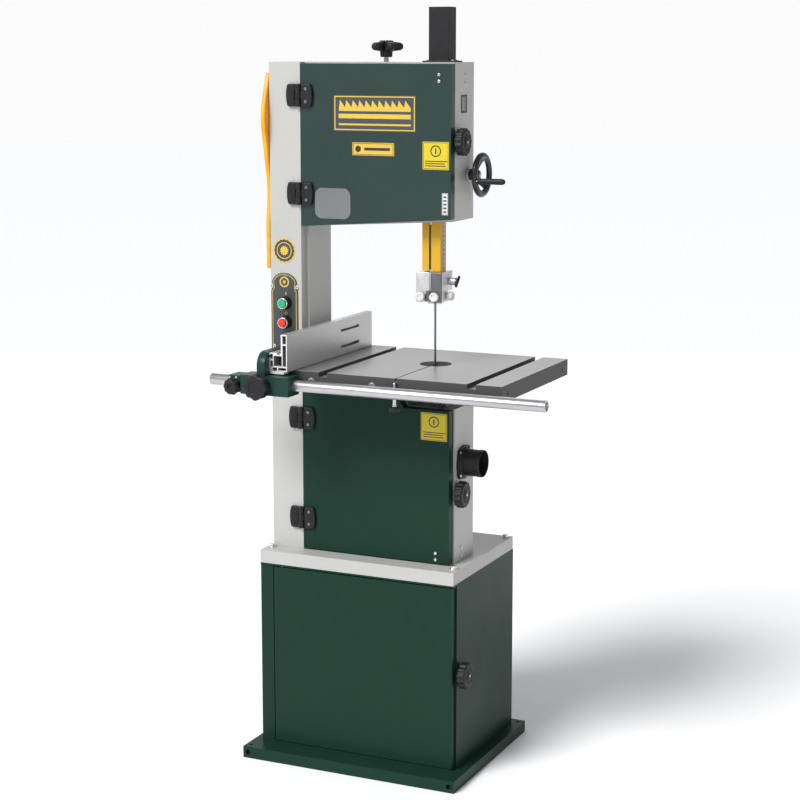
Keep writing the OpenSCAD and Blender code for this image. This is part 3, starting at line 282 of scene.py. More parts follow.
RUBBER = rubber_skin()
PANE = see_through()
SLATE = printed("slate_foil", (0.042, 0.052, 0.06), 0.42)
GOLD = printed("gold_print", (0.62, 0.42, 0.05), 0.35)
SIGN_YELLOW = printed("yellow_foil", (0.6, 0.47, 0.01), 0.4)
PALE_PRINT = printed("pale_print", (0.62, 0.64, 0.64), 0.4)
DARK_PRINT = printed("dark_print", (0.02, 0.02, 0.022), 0.4)
SCALE_FOIL = printed("scale_foil", (0.27, 0.28, 0.31), 0.35)


# ---- outlines ----
def fillet(points, radius, steps=4, closed=True):
    """Rounds the corners of an outline with short curves."""
    points = [Vector(p) for p in points]
    out = []
    for i, p in enumerate(points):
        if not closed and i in (0, len(points) - 1):
            out.append(p)
            continue
        before, after = points[i - 1], points[(i + 1) % len(points)]
        reach = min(radius, (before - p).length * 0.49, (after - p).length * 0.49)
        start = p + (before - p).normalized() * reach
        end = p + (after - p).normalized() * reach
        for k in range(steps + 1):
            t = k / steps
            out.append(start * (1 - t) ** 2 + p * 2 * t * (1 - t) + end * t * t)
    return out


def rectangle(lo, hi, radius=0.0):
    points = [Vector(p) for p in (lo, (hi[0], lo[1]), hi, (lo[0], hi[1]))]
    return fillet(points, radius) if radius else points


def polar(angle, radius=1.0):
    return Vector((radius * cos(angle), radius * sin(angle)))


def around(count, start=0.0):
    """Angles of count equal steps around a full turn."""
    return [start + 2 * pi * k / count for k in range(count)]


def circle(centre, radius, n, start=0.0):
    return [Vector(centre) + polar(a, radius) for a in around(n, start)]


def hexagon(angle, radius):
    """Distance from the middle of a hexagon to its rim, for corners at a radius."""
    wedge = pi / 3
    return radius * cos(wedge / 2) / cos(angle % wedge - wedge / 2)


def inset(outline, distance):
    """The outline moved inwards by a distance."""
    n = len(outline)
    area = sum(outline[i - 1].x * outline[i].y - outline[i].x * outline[i - 1].y for i in range(n))
    side = 1 if area > 0 else -1
    out = []
    for i, p in enumerate(outline):
        a = (p - outline[i - 1]).normalized()
        b = (outline[(i + 1) % n] - p).normalized()
        normal = Vector((-(a + b).y, (a + b).x)).normalized() * side
        share = max(0.35, abs(normal.dot(Vector((-a.y, a.x)))))
        out.append(p + normal * distance / share)
    return out


def basis(axis):
    """Two directions and the axis that they turn about, for x, y, z or their negatives."""
    first, second, way = {"x": (Y, Z, X), "y": (Z, X, Y), "z": (X, Y, Z)}[axis[-1]]
    return (second, first, -way) if axis[0] == "-" else (first, second, way)


def ring_about(at, axis, height, sides, radius):
    """Ring of points about an axis, at a height along it; radius is a function of the angle."""
    u, v, d = basis(axis)
    return [Vector(at) + d * height + (u * cos(a) + v * sin(a)) * radius(a) for a in around(sides)]


def upright(outline, height, axis):
    """An outline at a height along X or Y; its pairs are the other two axes."""
    return [Vector((height, *p) if axis == "x" else (p[0], height, p[1])) for p in outline]


def directions(points):
    """Direction of a path at each of its points."""
    last = len(points) - 1
    return [(points[min(i + 1, last)] - points[max(i - 1, 0)]).normalized() for i in range(last + 1)]


# ---- pieces ----
class Piece:
    """One piece made of several solids in mm, each with its own material."""

    def __init__(self):
        self.verts, self.faces, self.slots, self.materials = [], [], [], []

    def add(self, bm, material):
        bmesh.ops.recalc_face_normals(bm, faces=bm.faces)
        if material not in self.materials:
            self.materials.append(material)
        base = len(self.verts)
        bm.verts.index_update()
        self.verts += [v.co * MM for v in bm.verts]
        self.faces += [[base + v.index for v in f.verts] for f in bm.faces]
        self.slots += [self.materials.index(material)] * len(bm.faces)
        bm.free()

    def loft(self, material, rings, loop=False):
        """Skin over rings of points; a ring of one point is a tip."""
        bm = bmesh.new()
        made = [[bm.verts.new(p) for p in ring] for ring in rings]
        for a, b in zip(made, made[1:] + made[:1] if loop else made[1:]):
            n = max(len(a), len(b))
            for k in range(n):
                m = (k + 1) % n
                corners = [a[k % len(a)], a[m % len(a)], b[m % len(b)], b[k % len(b)]]
                corners = [c for i, c in enumerate(corners) if c not in corners[:i]]
                if len(corners) > 2:
                    bm.faces.new(corners)
        for ring in () if loop else (made[0], made[-1]):
            if len(ring) > 2:
                bm.faces.new(ring)
        self.add(bm, material)

    def lathe(self, material, at, axis, profile, sides, shape=None, loop=False):
        """Turns (height, radius) points about an axis; shape(angle) acts on a radius by the third number."""
        rings = []
        for height, radius, *share in profile:
            def reach(a):
                return radius * (1 + share[0] * (shape(a) - 1)) if shape and share else radius
            rings.append(ring_about(at, axis, height, sides if radius else 1, reach))
        self.loft(material, rings, loop)

    def turned(self, material, at, axis, outline, soft, steps, sides=48):
        """Turns an outline of (height, radius) with softened corners; off the axis it closes on itself."""
        loop = outline[0][1] > 0
        self.lathe(material, at, axis, fillet(outline, soft, steps, loop), sides, loop=loop)

    def prism(self, material, outline, axis, start, end, edge=0.0, steps=2):
        """Flat outline pushed along X or Y, with rounded rims."""
        outline = [Vector(p) for p in outline]
        rims = [(outline, 0)]
        if edge:
            turns = [pi / 2 * k / steps for k in range(steps + 1)]
            rims = [(inset(outline, edge * (1 - sin(t))), edge * (1 - cos(t))) for t in turns]
        self.loft(material, [upright(rim, start + rise, axis) for rim, rise in rims]
                  + [upright(rim, end - rise, axis) for rim, rise in reversed(rims)])

    def block(self, material, lo, hi, edge=0.0, steps=2, turn=None):
        """Box between two corners, with rounded edges; turn is (axis vector, angle, point)."""
        bm = bmesh.new()
        lo, hi = Vector(lo), Vector(hi)
        corners = [bm.verts.new([(lo, hi)[(i >> a) & 1][a] for a in range(3)]) for i in range(8)]
        for f in ((0, 1, 3, 2), (4, 6, 7, 5), (0, 4, 5, 1), (2, 3, 7, 6), (0, 2, 6, 4), (1, 5, 7, 3)):
            bm.faces.new([corners[i] for i in f])
        bmesh.ops.recalc_face_normals(bm, faces=bm.faces)
        if edge:
            bmesh.ops.bevel(bm, geom=bm.edges[:], offset=edge, segments=steps, profile=0.6,
                            affect="EDGES", clamp_overlap=True)
        if turn:
            axis, angle, point = turn
            spin = Quaternion(axis, angle)
            for vert in bm.verts:
                vert.co = spin @ (vert.co - Vector(point)) + Vector(point)
        self.add(bm, material)

    def tube(self, material, points, radius, sides):
        """Round bar through points; radius is one number or one for each point."""
        points = [Vector(p) for p in points]
        radii = radius if isinstance(radius, list) else [radius] * len(points)
        ways = directions(points)
        side = ways[0].orthogonal().normalized()
        rings = []
        for point, way, r in zip(points, ways, radii):
            side = (side - way * side.dot(way)).normalized()
            other = way.cross(side)
            rings.append([point + (side * cos(a) + other * sin(a)) * r for a in around(sides)])
        self.loft(material, rings)

    def done(self, name, body, replaces=(), crease=38):
        mesh = bpy.data.meshes.new(name)
        mesh.from_pydata(self.verts, [], self.faces)
        for material in self.materials:
            mesh.materials.append(material)
        mesh.polygons.foreach_set("material_index", self.slots)
        mesh.polygons.foreach_set("use_smooth", [len(face) < 5 for face in self.faces])
        mesh.set_sharp_from_angle(angle=radians(crease))
        mesh.validate()
        obj = bpy.data.objects.new(name, mesh)
        bpy.context.scene.collection.objects.link(obj)
        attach(obj, body)
        if replaces:
            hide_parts(*replaces)


SAME_POINT = 0.00001
FLAT_ANGLE, EDGE_ANGLE = radians(0.6), radians(32)


def dress(node, material, edge):
    """Gives a CAD node its material and rounds its edges."""
    obj = frame["nodes"][node]
    obj.data.materials.clear()
    obj.data.materials.append(material)
    if not edge:
        return
    weld = obj.modifiers.new("weld", "WELD")
    weld.merge_threshold = SAME_POINT
    flat = obj.modifiers.new("flat", "DECIMATE")
    flat.decimate_type = "DISSOLVE"
    flat.angle_limit = FLAT_ANGLE
    bevel = obj.modifiers.new("edges", "BEVEL")
    bevel.width = edge * MM
    bevel.segments = 2
    bevel.limit_method = "ANGLE"
    bevel.angle_limit = EDGE_ANGLE
    bevel.use_clamp_overlap = True
    bevel.harden_normals = True


# ---- stage, light and camera ----
CAMERA_AT = (1.842, -3.894, 1.621)
CAMERA_TURN = radians(24.9)
CAMERA_DIP = radians(9.275)
LENS = 86.08
SHIFT_Y = -0.05


def place(name, data, at, way):
    """Adds a camera or lamp that looks along a direction."""
    obj = bpy.data.objects.new(name, data)
    bpy.context.scene.collection.objects.link(obj)
    obj.location = at
    obj.rotation_mode = "QUATERNION"
    obj.rotation_quaternion = Vector(way).to_track_quat("-Z", "Y")
    return obj


def make_camera():
    data = bpy.data.cameras.new("camera")
    data.lens = LENS
    data.sensor_width = 36
    data.shift_y = SHIFT_Y
    data.clip_end = 60
    way = Vector((-sin(CAMERA_TURN) * cos(CAMERA_DIP),
                  cos(CAMERA_TURN) * cos(CAMERA_DIP), -sin(CAMERA_DIP)))
    bpy.context.scene.camera = place("camera", data, CAMERA_AT, way)


def area_light(name, at, aim, size, power):
    data = bpy.data.lights.new(name, "AREA")
    data.shape = "RECTANGLE"
    data.size, data.size_y = size
    data.energy = power
    place(name, data, at, Vector(aim) - Vector(at))


def make_stage():
    scene = bpy.context.scene
    scene.view_settings.view_transform = "Standard"
    world = bpy.data.worlds.new("studio")
    world.use_nodes = True
    nodes, links = world.node_tree.nodes, world.node_tree.links
    seen = nodes.new("ShaderNodeBackground")
    seen.inputs["Color"].default_value = (0.97, 0.97, 0.97, 1)
    lit = nodes["Background"]
    lit.inputs["Color"].default_value = (0.93, 0.95, 1, 1)
    lit.inputs["Strength"].default_value = 0.4
    ray = nodes.new("ShaderNodeLightPath")
    mix = nodes.new("ShaderNodeMixShader")
    links.new(ray.outputs["Is Camera Ray"], mix.inputs["Fac"])
    links.new(lit.outputs["Background"], mix.inputs[1])
    links.new(seen.outputs["Background"], mix.inputs[2])
    links.new(mix.outputs["Shader"], nodes["World Output"].inputs["Surface"])
    scene.world = world
    floor_bm = bmesh.new()
    bmesh.ops.create_circle(floor_bm, cap_ends=True, segments=96, radius=30)
    mesh = bpy.data.meshes.new("floor")
    floor_bm.to_mesh(mesh)
    floor_bm.free()
    floor = bpy.data.objects.new("floor", mesh)
    scene.collection.objects.link(floor)
    paint = Shade("floor_paint", (0.93, 0.93, 0.93), 0.8)
    paint.set("Specular IOR Level", 0.2)
    mesh.materials.append(paint.mat)
    sun = bpy.data.lights.new("sun", "SUN")
    sun.energy = 3.1
    sun.angle = radians(22)
    place("sun", sun, (0, 0, 0), (0.25, 0.7, -0.75))
    area_light("key", (-2.6, -4.2, 3.6), (0, 0, 1.0), (2.6, 2.2), 55)
    area_light("fill", (3.8, -2.6, 1.8), (0, 0, 0.9), (2.0, 3.0), 16)
    area_light("back", (-1.5, 4.0, 3.2), (0, 0, 1.0), (3.0, 2.0), 30)


# ---- shared shapes ----
def lobes(count, depth, sharp):
    """Scallops around a rim: 1 on a lobe and 1 - depth in a valley."""
    return lambda a: 1 - depth * (0.5 - 0.5 * cos(count * a)) ** sharp


def knob(piece, at, axis, outline, shape, sides=144):
    """Moulded knob turned from an outline of (height, radius), with a scalloped rim."""
    radius = max(r for _, r in outline)
    soft = fillet(outline, 0.075 * radius, closed=False)
    profile = [(p.x, p.y, min(1, max(0, (p.y / radius - 0.55) / 0.25))) for p in soft]
    piece.lathe(BLACK, at, axis, profile, sides, shape)


def grooved(radius, height, groove):
    """Outline of a knob with rounded edges and a ring groove in its face."""
    ring, cut = groove * radius, 1.2
    return [(0, 0), (0, 0.88 * radius), (0.1 * height, radius), (0.88 * height, radius),
            (height, 0.87 * radius), (height, ring + cut), (height - cut, ring + cut / 2),
            (height - cut, ring - cut / 2), (height, ring - cut), (height, 0)]


def cap_screw(piece, at, axis, radius, height, material=ZINC):
    """Socket screw: a low head with a hexagonal recess."""
    soft = fillet([(0, radius), (height, radius), (height, radius * 0.55)], 0.25 * height, 3, closed=False)
    rings = [ring_about(at, axis, p.x, 36, lambda a: p.y) for p in soft]
    rings += [ring_about(at, axis, height - depth, 36, lambda a: hexagon(a, 0.5 * radius))
              for depth in (0, 0.6 * height)]
    piece.loft(material, rings)


def hex_head(piece, at, axis, radius, height, material=ZINC):
    """Hexagon head with chamfered corners."""
    rings = [ring_about(at, axis, height * share, 36, lambda a: min(hexagon(a, radius), limit * radius))
             for share, limit in ((0, 1.0), (0.82, 1.0), (1, 0.88))]
    piece.loft(material, rings)


def disc(piece, material, at, axis, radius, height, edge, sides=48, bore=0.0):
    """Round plate, or a washer where it has a bore, with rounded rims."""
    outline = [(0, bore), (0, radius), (height, radius), (height, bore)]
    piece.turned(material, at, axis, outline, edge, 3, sides)


def strap(piece, material, points, across, sizes, roundness):
    """Bar with a rounded section through points; sizes are (along across, other way) for each."""
    points = [Vector(p) for p in points]
    across = Vector(across).normalized()
    rings = []
    for point, way, size in zip(points, directions(points), sizes):
        wide = (across - way * across.dot(way)).normalized()
        thick = way.cross(wide)
        ring = []
        for turn in map(polar, around(24)):
            a, b = (copysign(abs(c) ** (2 / roundness), c) * width / 2 for c, width in zip(turn, size))
            ring.append(point + wide * a + thick * b)
        rings.append(ring)
    piece.loft(material, rings)


def thread(piece, material, at, axis, pitch, core, crest, turns, flank, sides):
    """Threaded rod; flank is the share of the pitch at which the ridge begins."""
    outline = [(0, 0), (0, core)]
    for k in range(turns):
        outline += [((k + flank) * pitch, core), ((k + 0.5) * pitch, crest), ((k + 1 - flank) * pitch, core)]
    outline += [(turns * pitch, core), (turns * pitch, 0)]
    piece.lathe(material, at, axis, outline, sides)


def flat_band(piece, material, outer, inner, start, end, axis="y"):
    """Flat strip between two outlines that have as many points."""
    edges = ((outer, end), (outer, start), (inner, start), (inner, end))
    piece.loft(material, [upright(outline, height, axis) for outline, height in edges], loop=True)


def hoop(piece, material, centre, radius, bore, sides, start, end):
    """Flat ring that faces the front."""
    flat_band(piece, material, circle(centre, radius, sides), circle(centre, bore, sides), start, end)


# ---- hinges ----
HINGE_H = 50
HINGE_X = -160
BARREL_R = 6.5


def leaf_plate(piece, straight, bowed, front, z):
    """Hinge plate from a straight edge to a bowed one, both given by their X."""
    half = HINGE_H / 2
    inward = copysign(1, straight - bowed)
    bow = [(4, -half), (0.8, -half / 2), (0, 0), (0.8, half / 2), (4, half)]
    outline = [(bowed + inward * x, z + rise) for x, rise in bow]
    outline = [(straight, z - half), *outline, (straight, z + half)]
    piece.prism(BLACK, fillet(outline, 4), "y", front - 8, front, 2, 3)


def frame_leaf(piece, z):
    lo, front = low("frame_hinge_leaves"), high("frame_hinge_leaves").y
    leaf_plate(piece, lo.x + 22, lo.x, front, z)
    for k in range(15):
        rib = z + (k - 7) * 2.9
        piece.block(BLACK, (lo.x + 4, front - 8.8, rib - 0.7), (lo.x + 19, front - 6, rib + 0.7), 0.5)
    for foot in (z - HINGE_H / 2, z + 9):
        disc(piece, BLACK, (HINGE_X, front - BARREL_R, foot), "z", BARREL_R, 16, 1.2, 40)
        piece.block(BLACK, (lo.x + 18, front - 7, foot + 0.5), (HINGE_X, front - 3, foot + 15.5), 0.6)


def door_leaf(piece, z, node):
    x, front = -152.5, high(node).y
    leaf_plate(piece, x, high(node).x, front, z)
    disc(piece, BLACK, (HINGE_X, front - BARREL_R, z - 8.5), "z", BARREL_R, 17, 1.2, 40)
    piece.block(BLACK, (HINGE_X, front - 7, z - 8), (x + 3, front - 3, z + 8), 0.6)
    for side in (-14, 14):
        at = Vector((x + 12, front - 8, z + side))
        disc(piece, BLACK, at + 0.3 * Y, "-y", 5.4, 0.9, 0.3, 32, 3.9)
        cap_screw(piece, at, "-y", 3.4, 0.9, DARK_ZINC)


def hinges():
    heights = {node: (low(node).z + HINGE_H / 2, high(node).z - HINGE_H / 2)
               for node in ("upper_door_leaves", "lower_door_leaves")}
    fixed = Piece()
    for pair in heights.values():
        for z in pair:
            frame_leaf(fixed, z)
    fixed.done("hinge_leaves_on_frame", "frame", ["frame_hinge_leaves"])
    for node, pair in heights.items():
        moving = Piece()
        for z in pair:
            door_leaf(moving, z, node)
        moving.done("hinge_" + node, node.replace("_leaves", ""), [node])


# ---- latches ----
def latch(name):
    piece = Piece()
    wall = pivot(name + "_turn")
    knob(piece, wall + 5 * X, "x", grooved(30, 20, 0.56), lobes(13, 0.075, 1.2), 182)
    disc(piece, BLACK, wall + 0.3 * X, "x", 12, 6, 1)
    disc(piece, BLACK, wall + 24 * X, "x", 11, 2.2, 0.8)
    cap_screw(piece, wall + 26 * X, "x", 2.6, 1.2)
    piece.tube(SHAFT, [wall - 22 * X, wall + 6 * X], 5.95, 32)
    cam = [(-6.5, -7), (6.5, -7), (6.5, 16), (4, 30), (-4, 30), (-6.5, 16)]
    outline = fillet([(wall.y + a, wall.z + b) for a, b in cam], 4)
    piece.prism(DARK_ZINC, outline, "x", wall.x - 20, wall.x - 14, 0.8)
    piece.done(name + "_knob", name, [name])


# ---- tension screw, tracking knob, handwheel ----
def tension_knob():
    piece = Piece()
    foot = low("tension_screw").z
    at = pivot("tension_screw_turn").xy.to_3d() + (high("tension_screw").z - 25) * Z
    hub_r, arm_r = 14, 38
    outline = [(-12, 0), (-12, 13.5), (1, hub_r), (3, 32), (7, arm_r), (15, arm_r), (20, 33), (22, 17),
               (25, hub_r), (25, 0)]
    profile = [(p.x, p.y, min(1, max(0, (p.y - hub_r) / 12))) for p in fillet(outline, 3, closed=False)]
    valley = hub_r / arm_r
    piece.lathe(BLACK, at, "z", profile, 150,
                lambda a: valley + (1 - valley) * (0.5 + 0.5 * cos(5 * (a - 0.5))) ** 0.62)
    disc(piece, ZINC, at + 24.6 * Z, "z", 5, 0.9, 0.3, 32)
    pitch, core = 3, 5.1
    turns = int((at.z - 12 - foot) / pitch)
    thread(piece, SHAFT, (at.x, at.y, foot), "z", pitch, core, 6, turns, 0.15, 32)
    piece.tube(SHAFT, [(at.x, at.y, foot + turns * pitch), at - 10 * Z], core, 32)
    piece.done("tension_knob_and_screw", "tension_screw", ["tension_screw"])


def tension_coil():
    piece = Piece()
    lo, hi = box("tension_spring")
    centre, wire, turns = (lo + hi) / 2, 1.5, 7
    radius, rise = (hi.x - lo.x) / 2 - wire, hi.z - lo.z - 2 * wire
    points = []
    for k in range(turns * 24 + 1):
        share = k / (turns * 24)
        height = lo.z + wire + rise * min(max((share - 0.08) / 0.84, 0), 1)
        points.append((*(centre.xy + polar(2 * pi * turns * share, radius)), height))
    piece.tube(SHAFT, points, wire * 0.95, 12)
    piece.done("tension_coil", "wheel_carriage", ["tension_spring"])


def tracking():
    piece = Piece()
    lo, hi = box("tracking_knob")
    at = Vector(((lo.x + hi.x) / 2, hi.y - 20, (lo.z + hi.z) / 2))
    knob(piece, at, "y", grooved(20, 20, 0.5), lobes(8, 0.16, 1.4), 128)
    pitch = 1.5
    thread(piece, ZINC, (at.x, lo.y, at.z), "y", pitch, 3.4, 4, int((at.y - lo.y) / pitch), 0.2, 28)
    hex_head(piece, at - 8 * Y, "y", 7, 5)
    piece.done("tracking_knob_and_screw", "tracking_knob", ["tracking_knob"])


def handwheel():
    piece = Piece()
    hub, grip = pivot("handwheel_turn"), pivot("crank_grip_spin")
    arm = grip.yz - hub.yz
    first = atan2(arm.y, arm.x)
    rim_wide, rim_deep, rim_in = 6.4, 7.8, 1.4
    section = [(rim_wide * sin(a), arm.length - rim_in + rim_deep * cos(a)) for a in around(24)]
    piece.lathe(GLOSS_BLACK, hub, "x", section, 120, loop=True)
    back = hub - 23 * X
    boss = [(0, 0), (0, 13), (10, 13), (15, 11), (18, 8), (18, 0)]
    piece.turned(GLOSS_BLACK, back, "x", boss, 1.6, 4)
    for a in around(3, first):
        out = Vector((0, *polar(a)))
        points = [back + h * X + out * r
                  for h, r in ((7, 8), (8, 14), (11, 21), (15, 28), (19.5, 35), (22.5, 42))]
        sizes = [(19, 9), (18, 8), (16, 7), (15, 6.5), (16, 6.5), (20, 7)]
        strap(piece, GLOSS_BLACK, points, X.cross(out), sizes, 3)
    cap_screw(piece, back + 17.6 * X, "x", 4.5, 2.4)
    wall = Vector((high("upper_wheel_housing").x, *hub.yz))
    for start, thick, radius, material in ((0.3, 1, 15.2, DARK_ZINC), (1.3, 2.6, 14.8, ZINC),
                                           (3.9, 0.6, 13.6, DARK_ZINC), (4.5, 1.4, 14.2, ZINC)):
        disc(piece, material, wall + start * X, "x", radius, thick, 0.25 * thick)
    disc(piece, GLOSS_BLACK, wall + 6 * X, "x", 13, 5, 0.8)
    end = high("handwheel").x
    piece.tube(SHAFT, [(low("handwheel").x, *hub.yz), back + 4 * X], 5.98, 40)
    piece.tube(SHAFT, [(hub.x - 4, *grip.yz), (end - 1, *grip.yz)], 2.9, 24)
    disc(piece, ZINC, (end - 4.6, *grip.yz), "x", 2.9, 4.4, 1.2, 24)
    gear, teeth = [], 16
    for k in range(teeth):
        for step, r in ((-0.31, 10.2), (-0.2, 12), (-0.1, 13.2), (0.1, 13.2), (0.2, 12), (0.31, 10.2)):
            gear.append(hub.yz + polar(2 * pi * (k + 0.5 + step) / teeth, r))
    start = low("guide_rack").x
    piece.prism(SHAFT, gear, "x", start, start + 11)
    piece.done("handwheel_rim_and_shaft", "handwheel", ["handwheel"])

    handle = Piece()
    outline = [(0, 3.05), (0, 5.4), (3, 5.8), (20, 6.2), (46, 6.8), (58, 6.6), (62, 5.4), (64, 3.05)]
    handle.turned(BLACK, (low("crank_grip").x, *grip.yz), "x", outline, 2.5, 4, 56)
    handle.done("crank_handle", "crank_grip", ["crank_grip"])


# ---- blade guides ----
def bearing(piece, at, axis, radius, width, bore):
    """Ball bearing: an outer ring, a dark sunk shield and an inner ring."""
    wall = 0.18 * radius
    disc(piece, SHAFT, at, axis, radius, width, 0.4, 56, radius - wall)
    disc(piece, INK, Vector(at) + 0.5 * basis(axis)[2], axis, radius - wall, width - 1, 0, 40, bore + wall)
    disc(piece, SHAFT, at, axis, bore + wall, width, 0.2, 40, bore)


def thumbwheel(piece, at, axis, radius, height):
    """White fluted screw head."""
    outline = [(0, 0.8), (0.12, 1), (0.85, 1), (1, 0.86), (1, 0.5), (0.86, 0.46), (0.86, 0)]
    soft = fillet([(h * height, r * radius) for h, r in outline], 0.06 * radius, 3, closed=False)
    profile = [(p.x, p.y, 1.0 if p.y > 0.7 * radius else 0.0) for p in soft]
    profile[0] = (0, 0.8 * radius, 0.4)
    piece.lathe(WHITE_PLASTIC, at, axis, profile, 144, lobes(24, 0.05, 0.8))


def guide_head():
    piece = Piece()
    lo, hi = box("upper_guide_holder")
    mid = low("blade").y + 6
    top, split, back = hi.z, 1090, -34
    piece.prism(LIGHT_CAST, rectangle((lo.x, lo.z), (139, top), 2.2), "y", lo.y, back, 1.2, 3)
    front = rectangle((141.6, lo.z), (hi.x - 0.4, top), 2.4)
    piece.prism(DARK_CAST, front, "y", lo.y - 0.6, lo.y + 6, 1.4, 3)
    piece.prism(LIGHT_CAST, rectangle((142, lo.z + 0.3), (hi.x, top), 1.2), "y", lo.y + 4, back, 1, 3)
    piece.block(LIGHT_CAST, (138, lo.y + 2, split), (142.5, back, top - 1), 0.3)
    piece.block(DARK_CAST, (128, lo.y - 0.4, lo.z + 2), (140, lo.y + 8, split - 6), 0.8)
    piece.block(DARK_CAST, (131, lo.y - 0.4, split - 8), (140, lo.y + 8, split + 3), 0.8)
    piece.block(LIGHT_CAST, (lo.x, back - 0.5, split), (hi.x, hi.y, top), 1.5)
    for x in (123, 146):
        piece.block(LIGHT_CAST, (x, back - 1, lo.z), (x + 12, hi.y - 2, split + 1), 1.5)
    for z in (1101, 1122):
        for x in (114, 161):
            cap_screw(piece, (x, hi.y, z), "y", 3.6, 3)
    screw_z = 1079
    for x in (119.5, 153):
        disc(piece, INK, (x, lo.y - 0.6, screw_z), "-y", 7, 0.8, 0.2)
        thumbwheel(piece, (x, lo.y - 1.2, screw_z), "-y", 10.6, 9.5)
    thumbwheel(piece, (hi.x + 2.6, -40, screw_z), "x", 10, 12)
    disc(piece, ZINC, (hi.x, -40, screw_z), "x", 6, 3.2, 0.5)
    for x in (131.5, 149.1):
        foot = Vector((x, mid, lo.z))
        bearing(piece, foot - 6 * Z, "z", 8, 6, 2.5)
        piece.tube(ZINC, [foot - 5.7 * Z, foot + 11 * Z], 2.5, 24)
        disc(piece, ZINC, foot - 6.4 * Z, "z", 3.8, 0.6, 0.2, 32)
    thrust = (-24.5, 1077)
    bearing(piece, (136.8, *thrust), "x", 11, 7, 3)
    piece.tube(ZINC, [(125, *thrust), (155, *thrust)], 2.95, 24)
    piece.done("guide_head", "guide_post", ["upper_guide_holder", "upper_guide_bearings"])

    arm = Piece()
    at = Vector((168.3, -26, 1110))
    disc(arm, LIGHT_CAST, at, "x", 8.4, 15, 1, 48)
    disc(arm, DARK_ZINC, at + 15 * X, "x", 6, 2.2, 0.6, 48)
    tip = (Y + Z).normalized()
    strap(arm, BLACK, [at + 18.5 * X + tip * r for r in (-15, -13, -6, 0, 6, 13, 15)], X,
          [(3, 4), (6, 8), (5.4, 7), (6, 9), (5.4, 7), (6, 8), (3, 4)], 2.6)
    arm.tube(ZINC, [at - 7 * X, at + X], 2.9, 24)
    arm.done("guide_lock_arm", "guide_lever", ["guide_lock_lever"])


# ---- blade and wheels ----
def blade_band():
    piece = Piece()
    lo, hi = box("blade")
    thick = 0.6
    bend_r = (hi.x - lo.x - thick) / 2
    radius = bend_r + thick / 2
    top, bottom = (Vector(((lo.x + hi.x) / 2, z)) for z in (hi.z - radius, lo.z + radius))
    run, turn = (top - bottom).length, pi * bend_r
    total = 2 * (run + turn)
    teeth = round(total / 4.2)
    pitch = total / teeth

    def station(s):
        """Point in X and Z and the outward direction, s mm along the loop and down its cutting run."""
        s %= total
        right = s < run + turn
        s -= 0 if right else run + turn
        start, end, way = (top, bottom, 1) if right else (bottom, top, -1)
        if s < run:
            out = Vector((way, 0))
            return start.lerp(end, s / run) + out * bend_r, out
        out = polar(-(s - run) / bend_r) * way
        return end + out * bend_r, out

    rings = []
    for k in range(teeth):
        bend = (0, 0.16, -0.16)[k % 3]
        for share, cut in ((0, 1.0), (0.3, 0.92), (0.74, 0.0), (0.82, 0.0), (0.9, 1.0)):
            point, out = station((k + share) * pitch)
            front = lo.y + cut * 1.7
            ring = []
            for t, y, lean in ((-1, front, bend), (1, front, bend), (1, hi.y, 0), (-1, hi.y, 0)):
                corner = point + out * (t * thick / 2 + lean * (1 - cut))
                ring.append(Vector((corner.x, y, corner.y)))
            rings.append(ring)
    piece.loft(BAND, rings, loop=True)
    piece.done("blade_band", "frame", ["blade"], 25)


def wheel_pieces(name):
    tyre_node = name.replace("wheel", "tyre")
    lo, hi = box(tyre_node)
    rim, tyre_r = (high(name).x - low(name).x) / 2, (hi.x - lo.x) / 2
    y0, y1 = lo.y, hi.y
    centre = pivot(name + "_spin")
    at = Vector((centre.x, 0, centre.z))
    piece = Piece()
    band = [(y0, rim - 9), (y0, rim), (y1, rim), (y1, rim - 9), (y1 - 6, rim - 7.5), (y0 + 6, rim - 7.5)]
    piece.turned(IRON, at, "y", band, 1.5, 3, 160)
    hub = [(y0 - 2, 20), (y0 - 2, 25), (y0 + 3, 27), (y1 - 4, 27), (-29, 25.5), (-29, 20)]
    piece.turned(IRON, at, "y", hub, 1.2, 3, 72)
    spoke = [(25, 22, 12), (34, 17, 10.5), (60, 14.5, 9.5), (100, 13.5, 9), (126, 15, 9.5), (136, 20, 10),
             (141, 27, 11)]
    for a in around(6):
        out, across = Vector((cos(a), 0, -sin(a))), Vector((sin(a), 0, cos(a)))
        strap(piece, IRON, [at + (y0 + y1) / 2 * Y + out * r for r, _, _ in spoke], across,
              [(wide, thick) for _, wide, thick in spoke], 2.6)
    for a in around(3, pi / 3):
        x, z = polar(a, rim - 5)
        disc(piece, DARK_ZINC, (centre.x + x, y0, centre.z + z), "y", 2.4, 3, 0, 24)
    if name == "lower_wheel":
        start, end, pulley_r, groove_r, pitch = -30, -13, 60, 58.4, 3.4
        profile = [(start, 26), (start, pulley_r - 1), (start + 0.8, pulley_r)]
        for k in range(4):
            y = start + 2.2 + pitch * k
            profile += [(y, pulley_r), (y + 0.9, groove_r), (y + 1.4, groove_r), (y + 2.3, pulley_r)]
        profile += [(end - 0.6, pulley_r), (end, pulley_r - 1), (end, 52), (start + 4, 51),
                    (start + 4, 29), (end, 27), (end, 20), (start, 20)]
        piece.lathe(IRON, at, "y", profile, 120, loop=True)
    piece.done(name + "_casting", name, [name])
    tyre = Piece()
    crown = [(y0 + 0.3, rim), (y0, rim + 1), (y0 + 1, tyre_r - 0.9)]
    for k in range(9):
        t = k / 8
        crown.append((y0 + 2 + t * (y1 - y0 - 4), tyre_r - 0.7 * (2 * t - 1) ** 2))
    crown += [(y1 - 1, tyre_r - 0.9), (y1, rim + 1), (y1 - 0.3, rim)]
    tyre.lathe(RUBBER, at, "y", crown, 160, loop=True)
    tyre.done(name + "_tyre", name, [tyre_node])


